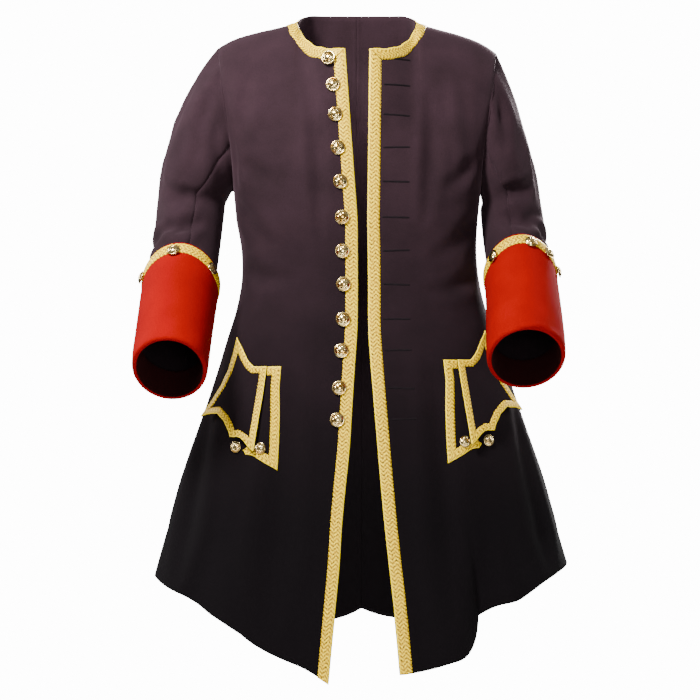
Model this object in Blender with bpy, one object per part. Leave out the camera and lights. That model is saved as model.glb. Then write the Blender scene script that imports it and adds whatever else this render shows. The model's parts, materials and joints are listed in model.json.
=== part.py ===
# Naval officer's frock coat in its worn form, hollow, and open at neck, hem and cuffs.
# Metres, +Z up. The front faces -Y and the wearer's left arm is towards +X.
# Height 0 is the level where the shoulder seams meet the neckline.
import math
from collections import namedtuple

import bmesh
import bpy
import numpy as np
from mathutils import Vector
from mathutils.bvhtree import BVHTree
from mathutils.interpolate import poly_3d_calc

# Walls and gaps
CLOTH_WALL = 0.0025
CUFF_WALL = 0.003
CUFF_FACING_WALL = 0.002
LACE_THICKNESS = 0.0012
SEAM_PULL = 0.00016
LACE_LIFT = 0.0005
LEAST_CLEARANCE = 0.0007
CLEARING_ROUNDS = 12
CLEARING_SHARES = (0.0, 0.17, 0.33, 0.5, 0.67, 0.83, 1.0)

# Body
CHEST_BASE = -0.33
HEM_READ_HEIGHT = -1.059
SKIRT_ROWS = 12
CHEST_ROWS = 8

# Lace widths
FRONT_LACE_WIDTH = 0.019
NECK_LACE_WIDTH = 0.018
CUFF_LACE_WIDTH = 0.019
CUFF_LACE_MARGIN = 0.003
MITRE_FADE = 0.040
NECK_LACE_SHARES = (0.0, 0.33, 0.67, 1.0)
CORNER_COSINE = 0.82
SHARPEST_MITRE = 0.35

# Sleeves
SLEEVE_COLUMNS = 24
FRONT_SEAM_COLUMN = 7
BACK_SEAM_COLUMN = 17
SLEEVE_HEAD_ROWS = 5
SLEEVE_ARM_ROWS = 9
SLEEVE_START_GAP = 0.0005
SLEEVE_END_SHORT = 0.012
HEAD_BULGE_UPRIGHT_SHARE = 0.4

# Cuffs
CUFF_DEPTH = 0.200
CUFF_FRONT_RISE = 0.022
CUFF_LIFT_AT_MOUTH = 0.0036
CUFF_LIFT_AT_TOP = 0.0085
CUFF_FACING_DEPTH = 0.060
CUFF_FACING_GAP = 0.0006
CUFF_FOLD = 0.004
CUFF_LIP = 0.0008
CUFF_LIP_DROP = 0.0012
CUFF_TURN_SHARE = 0.7
CUFF_OUTER_PARTS = (1.0, 0.86, 0.57, 0.28, 0.04)

# Buttons
BUTTON_RADIUS = 0.012
CUFF_BUTTON_RADIUS = 0.0108
POCKET_BUTTON_RADIUS = 0.0096
BUTTON_SEGMENTS = 10
BUTTON_SEAT_GAP = 0.0003
TOP_BUTTON_SEAT = 0.0030

# One level section of the body: half width at the side seams, depth forwards and
# backwards from the side seams, how far the section sways towards +X, and how square it is
# at the corners (2 for an ellipse, more for a squarer form).
Section = namedtuple("Section", "height half_width front back sway fullness")
BODY = (
    Section(-1.080, 0.378, 0.203, 0.252, 0.009, 2.3),
    Section(-0.950, 0.352, 0.190, 0.234, 0.009, 2.3),
    Section(-0.896, 0.339, 0.184, 0.225, 0.009, 2.3),
    Section(-0.835, 0.321, 0.176, 0.214, 0.009, 2.3),
    Section(-0.758, 0.300, 0.166, 0.198, 0.009, 2.35),
    Section(-0.672, 0.271, 0.154, 0.178, 0.009, 2.4),
    Section(-0.590, 0.243, 0.143, 0.158, 0.009, 2.45),
    Section(-0.539, 0.227, 0.135, 0.144, 0.008, 2.5),
    Section(-0.486, 0.209, 0.127, 0.130, 0.007, 2.6),
    Section(-0.443, 0.198, 0.122, 0.120, 0.006, 2.7),
    Section(-0.395, 0.194, 0.120, 0.115, 0.004, 2.8),
    Section(-0.358, 0.195, 0.121, 0.116, 0.002, 2.9),
    Section(-0.330, 0.199, 0.122, 0.118, 0.000, 3.0),
)

# Where the front edges run: the world X of each edge at a height.
Edge = namedtuple("Edge", "height right_x left_x")
FRONT_EDGES = (
    Edge(-1.080, -0.0470, 0.0690),
    Edge(-1.043, -0.0440, 0.0655),
    Edge(-0.951, -0.0350, 0.0572),
    Edge(-0.885, -0.0285, 0.0496),
    Edge(-0.807, -0.0233, 0.0413),
    Edge(-0.683, -0.0110, 0.0305),
    Edge(-0.603, -0.0063, 0.0240),
    Edge(-0.511, 0.0000, 0.0174),
    Edge(-0.430, 0.0010, 0.0172),
    Edge(-0.330, 0.0000, 0.0159),
)

# Hem height round each half, by turn in degrees from centre front (0) to centre back (180).
Hem = namedtuple("Hem", "turn right_height left_height")
HEM = (
    Hem(0, -1.075, -1.048),
    Hem(6, -1.059, -1.044),
    Hem(13, -1.030, -1.036),
    Hem(18, -1.019, -1.027),
    Hem(23, -1.006, -1.016),
    Hem(26, -0.997, -1.000),
    Hem(28.5, -0.988, -0.970),
    Hem(31, -0.980, -0.951),
    Hem(36, -0.968, -0.944),
    Hem(43, -0.954, -0.935),
    Hem(52, -0.935, -0.917),
    Hem(64, -0.923, -0.902),
    Hem(78, -0.914, -0.894),
    Hem(90, -0.914, -0.892),
    Hem(112, -0.930, -0.915),
    Hem(140, -0.985, -0.978),
    Hem(165, -1.028, -1.024),
    Hem(175, -1.025, -1.021),
    Hem(180, -1.007, -1.007),
)

# Soft upright folds of the skirt: middle and spread in degrees of turn, depth inwards,
# the height where the fold starts to show and the height where it is fully deep.
Fold = namedtuple("Fold", "side turn spread depth fades full")
FOLDS = (
    Fold(1, 31, 5, 0.022, -0.74, -1.00),
    Fold(1, 20, 6, -0.007, -0.70, -1.00),
    Fold(-1, 46, 7, 0.008, -0.70, -0.98),
    Fold(-1, 112, 8, 0.014, -0.50, -0.92),
    Fold(-1, 136, 6, 0.012, -0.56, -0.98),
    Fold(-1, 156, 6, 0.009, -0.62, -1.00),
    Fold(1, 108, 8, 0.013, -0.52, -0.92),
    Fold(1, 132, 7, 0.014, -0.48, -0.98),
    Fold(1, 158, 5, 0.008, -0.66, -1.00),
)

# Upper edge of the panels, from centre to side seam: the turn at the chest base that each
# upright line starts from, the place where it ends at neckline, shoulder or armhole, and how
# many degrees the line has leaned over by then.
Top = namedtuple("Top", "turn x y height roll")
FRONT_TOP = (
    Top(0, 0.0192, -0.105, -0.0610, 50),
    Top(6, 0.045, -0.098, -0.0600, 50),
    Top(12, 0.067, -0.080, -0.0530, 54),
    Top(17, 0.084, -0.052, -0.0360, 62),
    Top(21, 0.094, -0.024, -0.0140, 76),
    Top(25, 0.099, 0.000, 0.0000, 88),
    Top(31, 0.133, 0.000, -0.0085, 88),
    Top(38, 0.170, 0.000, -0.0170, 88),
    Top(45, 0.204, 0.000, -0.0275, 88),
    Top(52, 0.230, 0.000, -0.0420, 86),
    Top(58, 0.2245, -0.038, -0.0850, 72),
    Top(64, 0.2165, -0.058, -0.1350, 58),
    Top(70, 0.2090, -0.062, -0.1880, 48),
    Top(77, 0.2045, -0.050, -0.2350, 45),
    Top(84, 0.2040, -0.027, -0.2680, 45),
    Top(90, 0.2040, 0.000, -0.2790, 45),
)
BACK_TOP = (
    Top(0, 0.000, 0.070, 0.0240, 45),
    Top(6, 0.030, 0.069, 0.0240, 45),
    Top(12, 0.058, 0.066, 0.0235, 48),
    Top(17, 0.080, 0.054, 0.0215, 66),
    Top(21, 0.094, 0.030, 0.0125, 80),
    Top(25, 0.099, 0.000, 0.0000, 88),
    Top(31, 0.133, 0.000, -0.0085, 88),
    Top(38, 0.170, 0.000, -0.0170, 88),
    Top(45, 0.204, 0.000, -0.0275, 88),
    Top(52, 0.230, 0.000, -0.0420, 86),
    Top(58, 0.2245, 0.036, -0.0850, 72),
    Top(64, 0.2165, 0.053, -0.1350, 58),
    Top(70, 0.2090, 0.058, -0.1880, 48),
    Top(77, 0.2045, 0.050, -0.2350, 45),
    Top(84, 0.2040, 0.027, -0.2680, 45),
    Top(90, 0.2040, 0.000, -0.2790, 45),
)
NECK_POINT = 5
SHOULDER_POINT = 9
SHOULDER_X = 0.230
LEFT_SHOULDER_DROP = 0.008

# One section of a sleeve below the armhole: distance along the arm, centre, forward tilt in
# degrees, half width across and half depth.
Arm = namedtuple("Arm", "along x y z tilt half_width half_depth")
ARMS = {
    -1: (
        Arm(0.000, 0.2745, -0.006, -0.304, 12, 0.0560, 0.0650),
        Arm(0.046, 0.2775, -0.021, -0.348, 22, 0.0553, 0.0640),
        Arm(0.100, 0.2815, -0.047, -0.396, 32, 0.0550, 0.0640),
        Arm(0.183, 0.2850, -0.100, -0.461, 41, 0.0545, 0.0650),
        Arm(0.261, 0.2880, -0.152, -0.518, 45, 0.0550, 0.0655),
        Arm(0.339, 0.2890, -0.206, -0.573, 46, 0.0560, 0.0660),
    ),
    1: (
        Arm(0.000, 0.2548, -0.006, -0.304, 12, 0.0495, 0.0650),
        Arm(0.046, 0.2575, -0.021, -0.346, 23, 0.0515, 0.0640),
        Arm(0.100, 0.2610, -0.050, -0.392, 34, 0.0510, 0.0640),
        Arm(0.180, 0.2640, -0.101, -0.452, 42, 0.0515, 0.0640),
        Arm(0.254, 0.2625, -0.151, -0.505, 45, 0.0560, 0.0645),
        Arm(0.327, 0.2600, -0.202, -0.556, 46, 0.0585, 0.0650),
    ),
}
HEAD_BULGE = {
    -1: (0.024, 0.010, -0.005, 0.012),
    1: (0.011, 0.010, -0.005, 0.012),
}


# Front buttons: height, and distance from the front edge round the body.
FrontButton = namedtuple("FrontButton", "height from_edge")
FRONT_BUTTONS = (
    FrontButton(-0.0775, 0.0270),
    FrontButton(-0.1200, 0.0232),
    FrontButton(-0.1680, 0.0230),
    FrontButton(-0.2213, 0.0230),
    FrontButton(-0.2750, 0.0230),
    FrontButton(-0.3314, 0.0240),
    FrontButton(-0.3864, 0.0245),
    FrontButton(-0.4405, 0.0230),
    FrontButton(-0.4979, 0.0230),
    FrontButton(-0.5489, 0.0232),
    FrontButton(-0.6086, 0.0230),
    FrontButton(-0.6594, 0.0232),
)
CUFF_BUTTON_DROP = 0.0185
CUFF_BUTTON_STEP = 0.010
CUFF_BUTTON_ANGLES = {-1: (22, 84, 143), 1: (17, 48, 78, 137)}
PocketButton = namedtuple("PocketButton", "turn height seat")
POCKET_BUTTONS = (
    PocketButton(42.4, -0.6965, 0.0003),
    PocketButton(31.2, -0.6980, 0.0022),
)

# Button profile from the seat outwards, as radius and height in shares of the button radius.
Turned = namedtuple("Turned", "radius height")
BUTTON_PROFILE = (
    Turned(0.25, 0.000),
    Turned(0.25, 0.160),
    Turned(0.94, 0.165),
    Turned(1.00, 0.290),
    Turned(0.62, 0.470),
    Turned(0.24, 0.560),
)

# Pockets. The wearer's left pocket sits a little higher than the right one.
POCKET_RISE = {-1: 0.0, 1: 0.0105}
FRAME_LACE_WIDTH = 0.0135
FLAP_LACE_WIDTH = 0.0105
FLAP_ROWS = 5
FLAP_TOP_LIFT = 0.0005
FLAP_STAND_OFF = 0.0090
FLAP_STAND_OFF_CURVE = 1.6
OUTLINE_STEP = 0.013

# Lace frame on the skirt: outer line from under the flap's top, down the front side, to the
# tip and back under the flap, by turn in degrees and height.
Outline = namedtuple("Outline", "turn height")
FRAME_OUTLINE = (
    Outline(34.6, -0.5688),
    Outline(28.4, -0.5685),
    Outline(27.9, -0.6010),
    Outline(25.9, -0.6466),
    Outline(24.6, -0.6920),
    Outline(23.9, -0.7309),
    Outline(28.0, -0.7219),
    Outline(33.9, -0.7095),
    Outline(37.2, -0.7080),
    Outline(38.8, -0.7010),
)

# Pocket flap, from its front side to its back side: upper end and lower end of each upright
# line, and how far the line bows forwards at its middle in degrees of turn.
Flap = namedtuple("Flap", "top_turn top_height low_turn low_height bow")
FLAP_LINES = (
    Flap(35.2, -0.5688, 32.9, -0.7043, 0.0),
    Flap(37.2, -0.5690, 35.3, -0.6975, 0.0),
    Flap(39.5, -0.5692, 38.2, -0.6875, 0.0),
    Flap(42.5, -0.5690, 41.3, -0.6820, 0.0),
    Flap(45.0, -0.5640, 45.0, -0.6825, 0.0),
    Flap(47.5, -0.5575, 47.0, -0.6715, 0.3),
    Flap(50.2, -0.5489, 50.9, -0.6575, 0.7),
    Flap(54.0, -0.5380, 56.5, -0.6468, 1.5),
    Flap(57.5, -0.5300, 63.0, -0.6480, 3.0),
    Flap(61.2, -0.5226, 70.9, -0.6529, 5.0),
)


def smooth_value(table, key, column, at):
    """Smooth value of one column of a table at a place along its key column."""
    rows = sorted(table, key=lambda row: getattr(row, key))
    places = np.array([getattr(row, key) for row in rows], float)
    values = np.array([getattr(row, column) for row in rows], float)
    at = min(max(at, places[0]), places[-1])
    slopes = np.gradient(values, places)
    left = int(np.clip(np.searchsorted(places, at) - 1, 0, len(places) - 2))
    step = places[left + 1] - places[left]
    part = (at - places[left]) / step
    start = (1 + 2 * part) * (1 - part) ** 2 * values[left]
    start_slope = part * (1 - part) ** 2 * step * slopes[left]
    end = part**2 * (3 - 2 * part) * values[left + 1]
    end_slope = part**2 * (part - 1) * step * slopes[left + 1]
    return start + start_slope + end + end_slope


def ease(value):
    value = min(max(value, 0.0), 1.0)
    return value * value * (3 - 2 * value)


def fold_depth(side, turn, height):
    """How far the folds press the skirt inwards at a turn and height."""
    depth = 0.0
    for fold in FOLDS:
        if fold.side != side:
            continue
        strength = ease((fold.fades - height) / (fold.fades - fold.full))
        depth += fold.depth * strength * math.exp(-(((turn - fold.turn) / fold.spread) ** 2))
    return depth


def body_point(side, turn, height):
    """Outer surface of the body below the chest, by turn in degrees and height."""
    half_width = smooth_value(BODY, "height", "half_width", height)
    front = smooth_value(BODY, "height", "front", height)
    back = smooth_value(BODY, "height", "back", height)
    sway = smooth_value(BODY, "height", "sway", height)
    fullness = smooth_value(BODY, "height", "fullness", height)
    angle = math.radians(turn)
    across = max(math.sin(angle), 0.0) ** (2 / fullness)
    along = abs(math.cos(angle)) ** (2 / fullness)
    inwards = fold_depth(side, turn, height)
    x = side * (half_width * across - inwards * math.sin(angle)) + sway
    if turn <= 90:
        y = -front * along + inwards * math.cos(angle)
    else:
        y = back * along + inwards * math.cos(angle)
    return np.array((x, y, height))


def edge_turn(side, height):
    """Turn at which a front panel begins at a height."""
    column = "right_x" if side < 0 else "left_x"
    edge_x = smooth_value(FRONT_EDGES, "height", column, height)
    half_width = smooth_value(BODY, "height", "half_width", height)
    sway = smooth_value(BODY, "height", "sway", height)
    fullness = smooth_value(BODY, "height", "fullness", height)
    part = max(side * (edge_x - sway), 0.0) / half_width
    return math.degrees(math.asin(part ** (fullness / 2)))


def panel_turn(side, is_back, base_turn, height):
    if is_back:
        return 180 - base_turn
    start = edge_turn(side, height)
    return start + (90 - start) * base_turn / 90


def hem_height(side, turn):
    column = "right_height" if side < 0 else "left_height"
    return smooth_value(HEM, "turn", column, turn)


def body_grid(side, is_back):
    """Outer points of one body panel: rows from hem to top, columns from centre to side."""
    tops = BACK_TOP if is_back else FRONT_TOP
    rows = []
    for row in range(SKIRT_ROWS + 1):
        line = []
        for top in tops:
            low_turn = panel_turn(side, is_back, top.turn, HEM_READ_HEIGHT)
            low = hem_height(side, low_turn)
            height = low + (CHEST_BASE - low) * row / SKIRT_ROWS
            turn = panel_turn(side, is_back, top.turn, height)
            line.append(body_point(side, turn, height))
        rows.append(line)
    base = rows[-1]
    for row in range(1, CHEST_ROWS + 1):
        line = []
        for start, top in zip(base, tops):
            end_angle = math.radians(top.roll)
            angle = end_angle * row / CHEST_ROWS
            rise = math.sin(angle) / math.sin(end_angle)
            depth = (math.cos(angle) - math.cos(end_angle)) / (1 - math.cos(end_angle))
            x = start[0] + (side * top.x - start[0]) * rise
            y = top.y + (start[1] - top.y) * depth
            drop = LEFT_SHOULDER_DROP * (top.x / SHOULDER_X) ** 3 if side > 0 else 0.0
            height = start[2] + (top.height - drop - start[2]) * rise
            line.append(np.array((x, y, height)))
        rows.append(line)
    return np.array(rows)


def point_key(point):
    return tuple(np.round(point, 5))


def shared_normals(grids, signs):
    """Outward normals at the points of several grids, the same wherever two grids meet."""
    sums = {}
    for grid, sign in zip(grids, signs):
        for row in range(grid.shape[0] - 1):
            for column in range(grid.shape[1] - 1):
                corners = (
                    grid[row, column],
                    grid[row, column + 1],
                    grid[row + 1, column + 1],
                    grid[row + 1, column],
                )
                facing = np.cross(corners[2] - corners[0], corners[3] - corners[1]) * sign
                for corner in corners:
                    key = point_key(corner)
                    sums[key] = sums.get(key, np.zeros(3)) + facing
    found = []
    for grid in grids:
        normals = np.zeros_like(grid)
        for row in range(grid.shape[0]):
            for column in range(grid.shape[1]):
                total = sums[point_key(grid[row, column])]
                normals[row, column] = total / np.linalg.norm(total)
        found.append(normals)
    return found


def pulled_in(grid, first_row=0.0, last_row=0.0, first_column=0.0, last_column=0.0):
    """The grid with its borders moved a little towards the next line of points."""
    moved = grid.copy()
    for amount, border, inner in (
        (first_row, (0, slice(None)), (1, slice(None))),
        (last_row, (-1, slice(None)), (-2, slice(None))),
        (first_column, (slice(None), 0), (slice(None), 1)),
        (last_column, (slice(None), -1), (slice(None), -2)),
    ):
        step = grid[inner] - grid[border]
        length = np.linalg.norm(step, axis=-1, keepdims=True)
        moved[border] = moved[border] + step / np.maximum(length, 1e-9) * amount
    return moved


def srgb(hex_colour):
    values = [int(hex_colour[i : i + 2], 16) / 255 for i in (1, 3, 5)]
    return [v / 12.92 if v <= 0.04045 else ((v + 0.055) / 1.055) ** 2.4 for v in values]


def make_material(name, hex_colour, roughness, metallic):
    material = bpy.data.materials.new(name)
    material.use_nodes = True
    shader = material.node_tree.nodes["Principled BSDF"]
    shader.inputs["Base Color"].default_value = (*srgb(hex_colour), 1.0)
    shader.inputs["Roughness"].default_value = roughness
    shader.inputs["Metallic"].default_value = metallic
    return material


def add_object(name, vertices, faces, look):
    """Closed mesh with its faces turned outwards."""
    mesh = bpy.data.meshes.new(name)
    mesh.from_pydata([tuple(v) for v in vertices], [], faces)
    working = bmesh.new()
    working.from_mesh(mesh)
    bmesh.ops.recalc_face_normals(working, faces=working.faces)
    for face in working.faces:
        face.smooth = True
    working.to_mesh(mesh)
    working.free()
    mesh.materials.append(make_material(name + "_look", *look))
    made = bpy.data.objects.new(name, mesh)
    bpy.context.scene.collection.objects.link(made)
    return made


def sheet_solid(name, points, normals, under, over, look, closed_rows=False):
    """Solid sheet between two distances from a grid of surface points."""
    rows, columns = points.shape[:2]
    upper = points + normals * over
    lower = points + normals * under
    vertices = np.concatenate((upper.reshape(-1, 3), lower.reshape(-1, 3)))
    offset = rows * columns
    faces = []

    def at(row, column):
        return (row % rows) * columns + column

    row_steps = rows if closed_rows else rows - 1
    for row in range(row_steps):
        for column in range(columns - 1):
            quad = (at(row, column), at(row, column + 1), at(row + 1, column + 1), at(row + 1, column))
            faces.append(quad)
            faces.append(tuple(offset + i for i in reversed(quad)))
        for column in (0, columns - 1):
            first = at(row, column)
            second = at(row + 1, column)
            faces.append((first, second, offset + second, offset + first))
    if not closed_rows:
        for row in (0, rows - 1):
            for column in range(columns - 1):
                first = at(row, column)
                second = at(row, column + 1)
                faces.append((first, second, offset + second, offset + first))
    return add_object(name, vertices, faces, look)


def ring_solid(name, rings, look):
    """Solid whose surface runs through a closed series of closed rings."""
    count = len(rings)
    around = len(rings[0])
    vertices = np.concatenate(rings)
    faces = []
    for ring in range(count):
        following = (ring + 1) % count
        for place in range(around):
            beside = (place + 1) % around
            faces.append(
                (
                    ring * around + place,
                    ring * around + beside,
                    following * around + beside,
                    following * around + place,
                )
            )
    return add_object(name, vertices, faces, look)


def line_lengths(points):
    steps = np.linalg.norm(np.diff(points, axis=0), axis=1)
    return np.concatenate(([0.0], np.cumsum(steps)))


def place_on_line(points, lengths, distance):
    return np.array([np.interp(distance, lengths, points[:, axis]) for axis in range(3)])


class LaidSurface:
    """Outer faces of one or more grids, to lay trimmings on."""

    def __init__(self, grids, normal_grids, signs):
        self.vertices = []
        self.normals = []
        self.quads = []
        for grid, normals, sign in zip(grids, normal_grids, signs):
            start = len(self.vertices)
            rows, columns = grid.shape[:2]
            self.vertices.extend(Vector(p) for p in grid.reshape(-1, 3))
            self.normals.extend(Vector(n) for n in normals.reshape(-1, 3))
            for row in range(rows - 1):
                for column in range(columns - 1):
                    first = start + row * columns + column
                    quad = (first, first + 1, first + columns + 1, first + columns)
                    self.quads.append(quad if sign > 0 else quad[::-1])
        self.tree = BVHTree.FromPolygons(self.vertices, self.quads)

    def nearest(self, point):
        """Nearest surface point and its smooth outward normal."""
        place, _, index, _ = self.tree.find_nearest(Vector(point))
        quad = self.quads[index]
        weights = poly_3d_calc([self.vertices[i] for i in quad], place)
        normal = Vector((0, 0, 0))
        for weight, i in zip(weights, quad):
            normal += self.normals[i] * weight
        return np.array(place), np.array(normal.normalized())


def raised_clear(grid, normals, surface, lift, closed_rows=False):
    """Lifts for a grid of points so that the sheet between them stays off the cloth."""
    lifts = np.zeros(grid.shape[:2]) + lift
    rows, columns = grid.shape[:2]
    pairs = []
    for row in range(rows):
        for column in range(columns):
            for row_step, column_step in ((0, 1), (1, 0), (1, 1), (1, -1)):
                other_row = row + row_step
                if closed_rows:
                    other_row %= rows
                other_column = column + column_step
                if other_row < rows and 0 <= other_column < columns:
                    pairs.append(((row, column), (other_row, other_column)))
    for _ in range(CLEARING_ROUNDS):
        raised = grid + normals * lifts[..., None]
        needed = np.zeros_like(lifts)
        for first, second in pairs:
            for share in CLEARING_SHARES:
                point = raised[first] * (1 - share) + raised[second] * share
                place, normal = surface.nearest(point)
                short = LEAST_CLEARANCE - float(np.dot(point - place, normal))
                if short > 0:
                    needed[first] = max(needed[first], short)
                    needed[second] = max(needed[second], short)
        if not needed.any():
            break
        lifts += needed
    return lifts[..., None]


BODY_LOOK = ("#3d2d33", 0.85, 0.0)
SLEEVE_LOOK = ("#3f2e35", 0.85, 0.0)
CUFF_LOOK = ("#e30a0a", 0.8, 0.0)
LACE_LOOK = ("#d8ab47", 0.42, 0.55)
BUTTON_LOOK = ("#cfc596", 0.3, 0.9)
SIDES = {"right": -1, "left": 1}


def make_body():
    """The four body panels, and the surface that trimmings lie on."""
    keys = [(side_name, is_back) for side_name in SIDES for is_back in (False, True)]
    grids = [body_grid(SIDES[side_name], is_back) for side_name, is_back in keys]
    signs = [SIDES[side_name] * (-1 if is_back else 1) for side_name, is_back in keys]
    normals = shared_normals(grids, signs)
    panels = {}
    for key, grid, normal_grid in zip(keys, grids, normals):
        side_name, is_back = key
        name = ("back_" if is_back else "front_") + side_name
        drawn = pulled_in(
            grid,
            first_column=SEAM_PULL if is_back else 0.0,
            last_column=SEAM_PULL,
        )
        shoulder = slice(NECK_POINT, SHOULDER_POINT + 1)
        drawn[-1, shoulder] += (grid[-2, shoulder] - grid[-1, shoulder]) / np.linalg.norm(
            grid[-2, shoulder] - grid[-1, shoulder], axis=-1, keepdims=True
        ) * SEAM_PULL
        sheet_solid(name, drawn, normal_grid, -CLOTH_WALL, 0.0, BODY_LOOK)
        panels[key] = (grid, normal_grid)
    return panels, LaidSurface(grids, normals, signs)


def arm_section(side, along, column, lift):
    """Point of a sleeve ring: column 0 is outwards, a quarter round is forwards."""
    table = ARMS[side]
    values = [smooth_value(table, "along", c, along) for c in Arm._fields[1:]]
    x, y, z, tilt, half_width, half_depth = values
    angle = 2 * math.pi * column / SLEEVE_COLUMNS
    lean = math.radians(tilt)
    across = (half_width + lift) * math.cos(angle)
    forwards = (half_depth + lift) * math.sin(angle)
    return np.array(
        (
            side * (x + across),
            y - forwards * math.cos(lean),
            z + forwards * math.sin(lean),
        )
    )


def armhole_loop(side, panels, side_name):
    """Points round an armhole: shoulder, front, underarm, back, with the middle of each step."""
    front = panels[(side_name, False)][0][-1]
    back = panels[(side_name, True)][0][-1]
    corners = list(front[SHOULDER_POINT:]) + list(back[SHOULDER_POINT + 1 : -1][::-1])
    loop = []
    for index, corner in enumerate(corners):
        following = corners[(index + 1) % len(corners)]
        loop.append(corner)
        loop.append((corner + following) / 2)
    return np.array(loop) + np.array((side * SLEEVE_START_GAP, 0, 0))


def head_bulge(side, column):
    """How far the sleeve head rounds out, eased between outer, front, under and back."""
    quarter = column / (SLEEVE_COLUMNS / 4)
    start = int(quarter) % 4
    part = ease(quarter - int(quarter))
    bulges = HEAD_BULGE[side]
    return bulges[start] * (1 - part) + bulges[(start + 1) % 4] * part


def sleeve_grid(side, panels, side_name):
    """Rows from the armhole to the sleeve end, columns once round with the first repeated."""
    loop = armhole_loop(side, panels, side_name)
    middle = loop.mean(axis=0)
    table = ARMS[side]
    columns = []
    for column in range(SLEEVE_COLUMNS):
        start = loop[column]
        end = arm_section(side, 0.0, column, 0.0)
        centre = (middle + np.array((side * table[0].x, table[0].y, table[0].z))) / 2
        halfway = (start + end) / 2
        outwards = halfway - centre
        outwards[2] *= HEAD_BULGE_UPRIGHT_SHARE
        outwards /= np.linalg.norm(outwards)
        control = halfway + outwards * head_bulge(side, column) * 2
        line = []
        for row in range(SLEEVE_HEAD_ROWS):
            part = row / SLEEVE_HEAD_ROWS
            line.append(start * (1 - part) ** 2 + control * 2 * part * (1 - part) + end * part**2)
        length = table[-1].along - SLEEVE_END_SHORT
        for row in range(SLEEVE_ARM_ROWS + 1):
            line.append(arm_section(side, length * row / SLEEVE_ARM_ROWS, column, 0.0))
        columns.append(line)
    columns.append(columns[0])
    return np.array(columns).transpose(1, 0, 2)


def make_sleeves(panels):
    for side_name, side in SIDES.items():
        ring = sleeve_grid(side, panels, side_name)
        normals = shared_normals([ring], [side])[0]
        normals[0, :, 0] = 0.0
        normals[0] /= np.linalg.norm(normals[0], axis=-1, keepdims=True)
        under = slice(FRONT_SEAM_COLUMN, BACK_SEAM_COLUMN + 1)
        order = list(range(BACK_SEAM_COLUMN, SLEEVE_COLUMNS)) + list(range(FRONT_SEAM_COLUMN + 1))
        for name, picked in (("upper_sleeve_", order), ("under_sleeve_", under)):
            grid = pulled_in(ring[:, picked], first_column=SEAM_PULL, last_column=SEAM_PULL)
            sheet_solid(name + side_name, grid, normals[:, picked], -CLOTH_WALL, 0.0, SLEEVE_LOOK)


def cuff_top(side, column):
    """Distance along the arm of the cuff's upper edge, which rises at the front."""
    forwards = math.sin(2 * math.pi * column / SLEEVE_COLUMNS)
    return ARMS[side][-1].along - CUFF_DEPTH - CUFF_FRONT_RISE * max(forwards, 0.0) ** 2


def cuff_ring(side, depth_part, lift, from_mouth=None):
    """Ring of the cuff at a share of the way from mouth to upper edge, or a set distance in."""
    mouth = ARMS[side][-1].along
    points = []
    for column in range(SLEEVE_COLUMNS):
        if from_mouth is None:
            along = mouth + (cuff_top(side, column) - mouth) * depth_part
        else:
            along = mouth - from_mouth
        points.append(arm_section(side, along, column, lift))
    return np.array(points)


def cuff_lift(depth_part):
    return CUFF_LIFT_AT_MOUTH + (CUFF_LIFT_AT_TOP - CUFF_LIFT_AT_MOUTH) * depth_part


def make_cuffs():
    """Turned-back cuffs: outer wall, fold at the mouth and a facing inside the sleeve end."""
    outside = -CLOTH_WALL - CUFF_FACING_GAP
    inside = outside - CUFF_FACING_WALL
    lip = cuff_lift(0) - CUFF_LIP_DROP
    lip_inside = outside - CUFF_LIP_DROP
    turn_in = SLEEVE_END_SHORT * CUFF_TURN_SHARE
    for side_name, side in SIDES.items():
        rings = []
        for part in CUFF_OUTER_PARTS:
            rings.append(cuff_ring(side, part, cuff_lift(part)))
        for lift, from_mouth in (
            (lip, CUFF_LIP),
            (lip_inside, 0.0),
            (inside, CUFF_FOLD),
            (inside, CUFF_FACING_DEPTH),
            (outside, CUFF_FACING_DEPTH),
            (outside, turn_in),
            (cuff_lift(0) - CUFF_WALL, turn_in),
        ):
            rings.append(cuff_ring(side, 0, lift, from_mouth))
        for part in CUFF_OUTER_PARTS[-2::-1]:
            rings.append(cuff_ring(side, part, cuff_lift(part) - CUFF_WALL))
        ring_solid("cuff_" + side_name, rings, CUFF_LOOK)


def make_cuff_laces():
    for side_name, side in SIDES.items():
        mouth = ARMS[side][-1].along
        rows = []
        for column in range(SLEEVE_COLUMNS):
            top = cuff_top(side, column)
            line = []
            for down in (CUFF_LACE_MARGIN, CUFF_LACE_MARGIN + CUFF_LACE_WIDTH):
                along = top + down
                part = (mouth - along) / (mouth - top)
                line.append(arm_section(side, along, column, cuff_lift(part)))
            rows.append(line)
        grid = np.array(rows)
        looped = np.concatenate((grid, grid[:1]))
        normals = shared_normals([looped], [side])[0][:-1]
        outward = grid - grid.mean(axis=(0, 1))
        if np.sum(normals * outward) < 0:
            normals = -normals
        sheet_solid(
            "cuff_lace_" + side_name,
            grid,
            normals,
            LACE_LIFT,
            LACE_LIFT + LACE_THICKNESS,
            LACE_LOOK,
            closed_rows=True,
        )


def mitre_shift(distance, width):
    """Extra distance of the lace's far edge near its mitred end."""
    return width * max(0.0, 1 - distance / MITRE_FADE)


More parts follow.
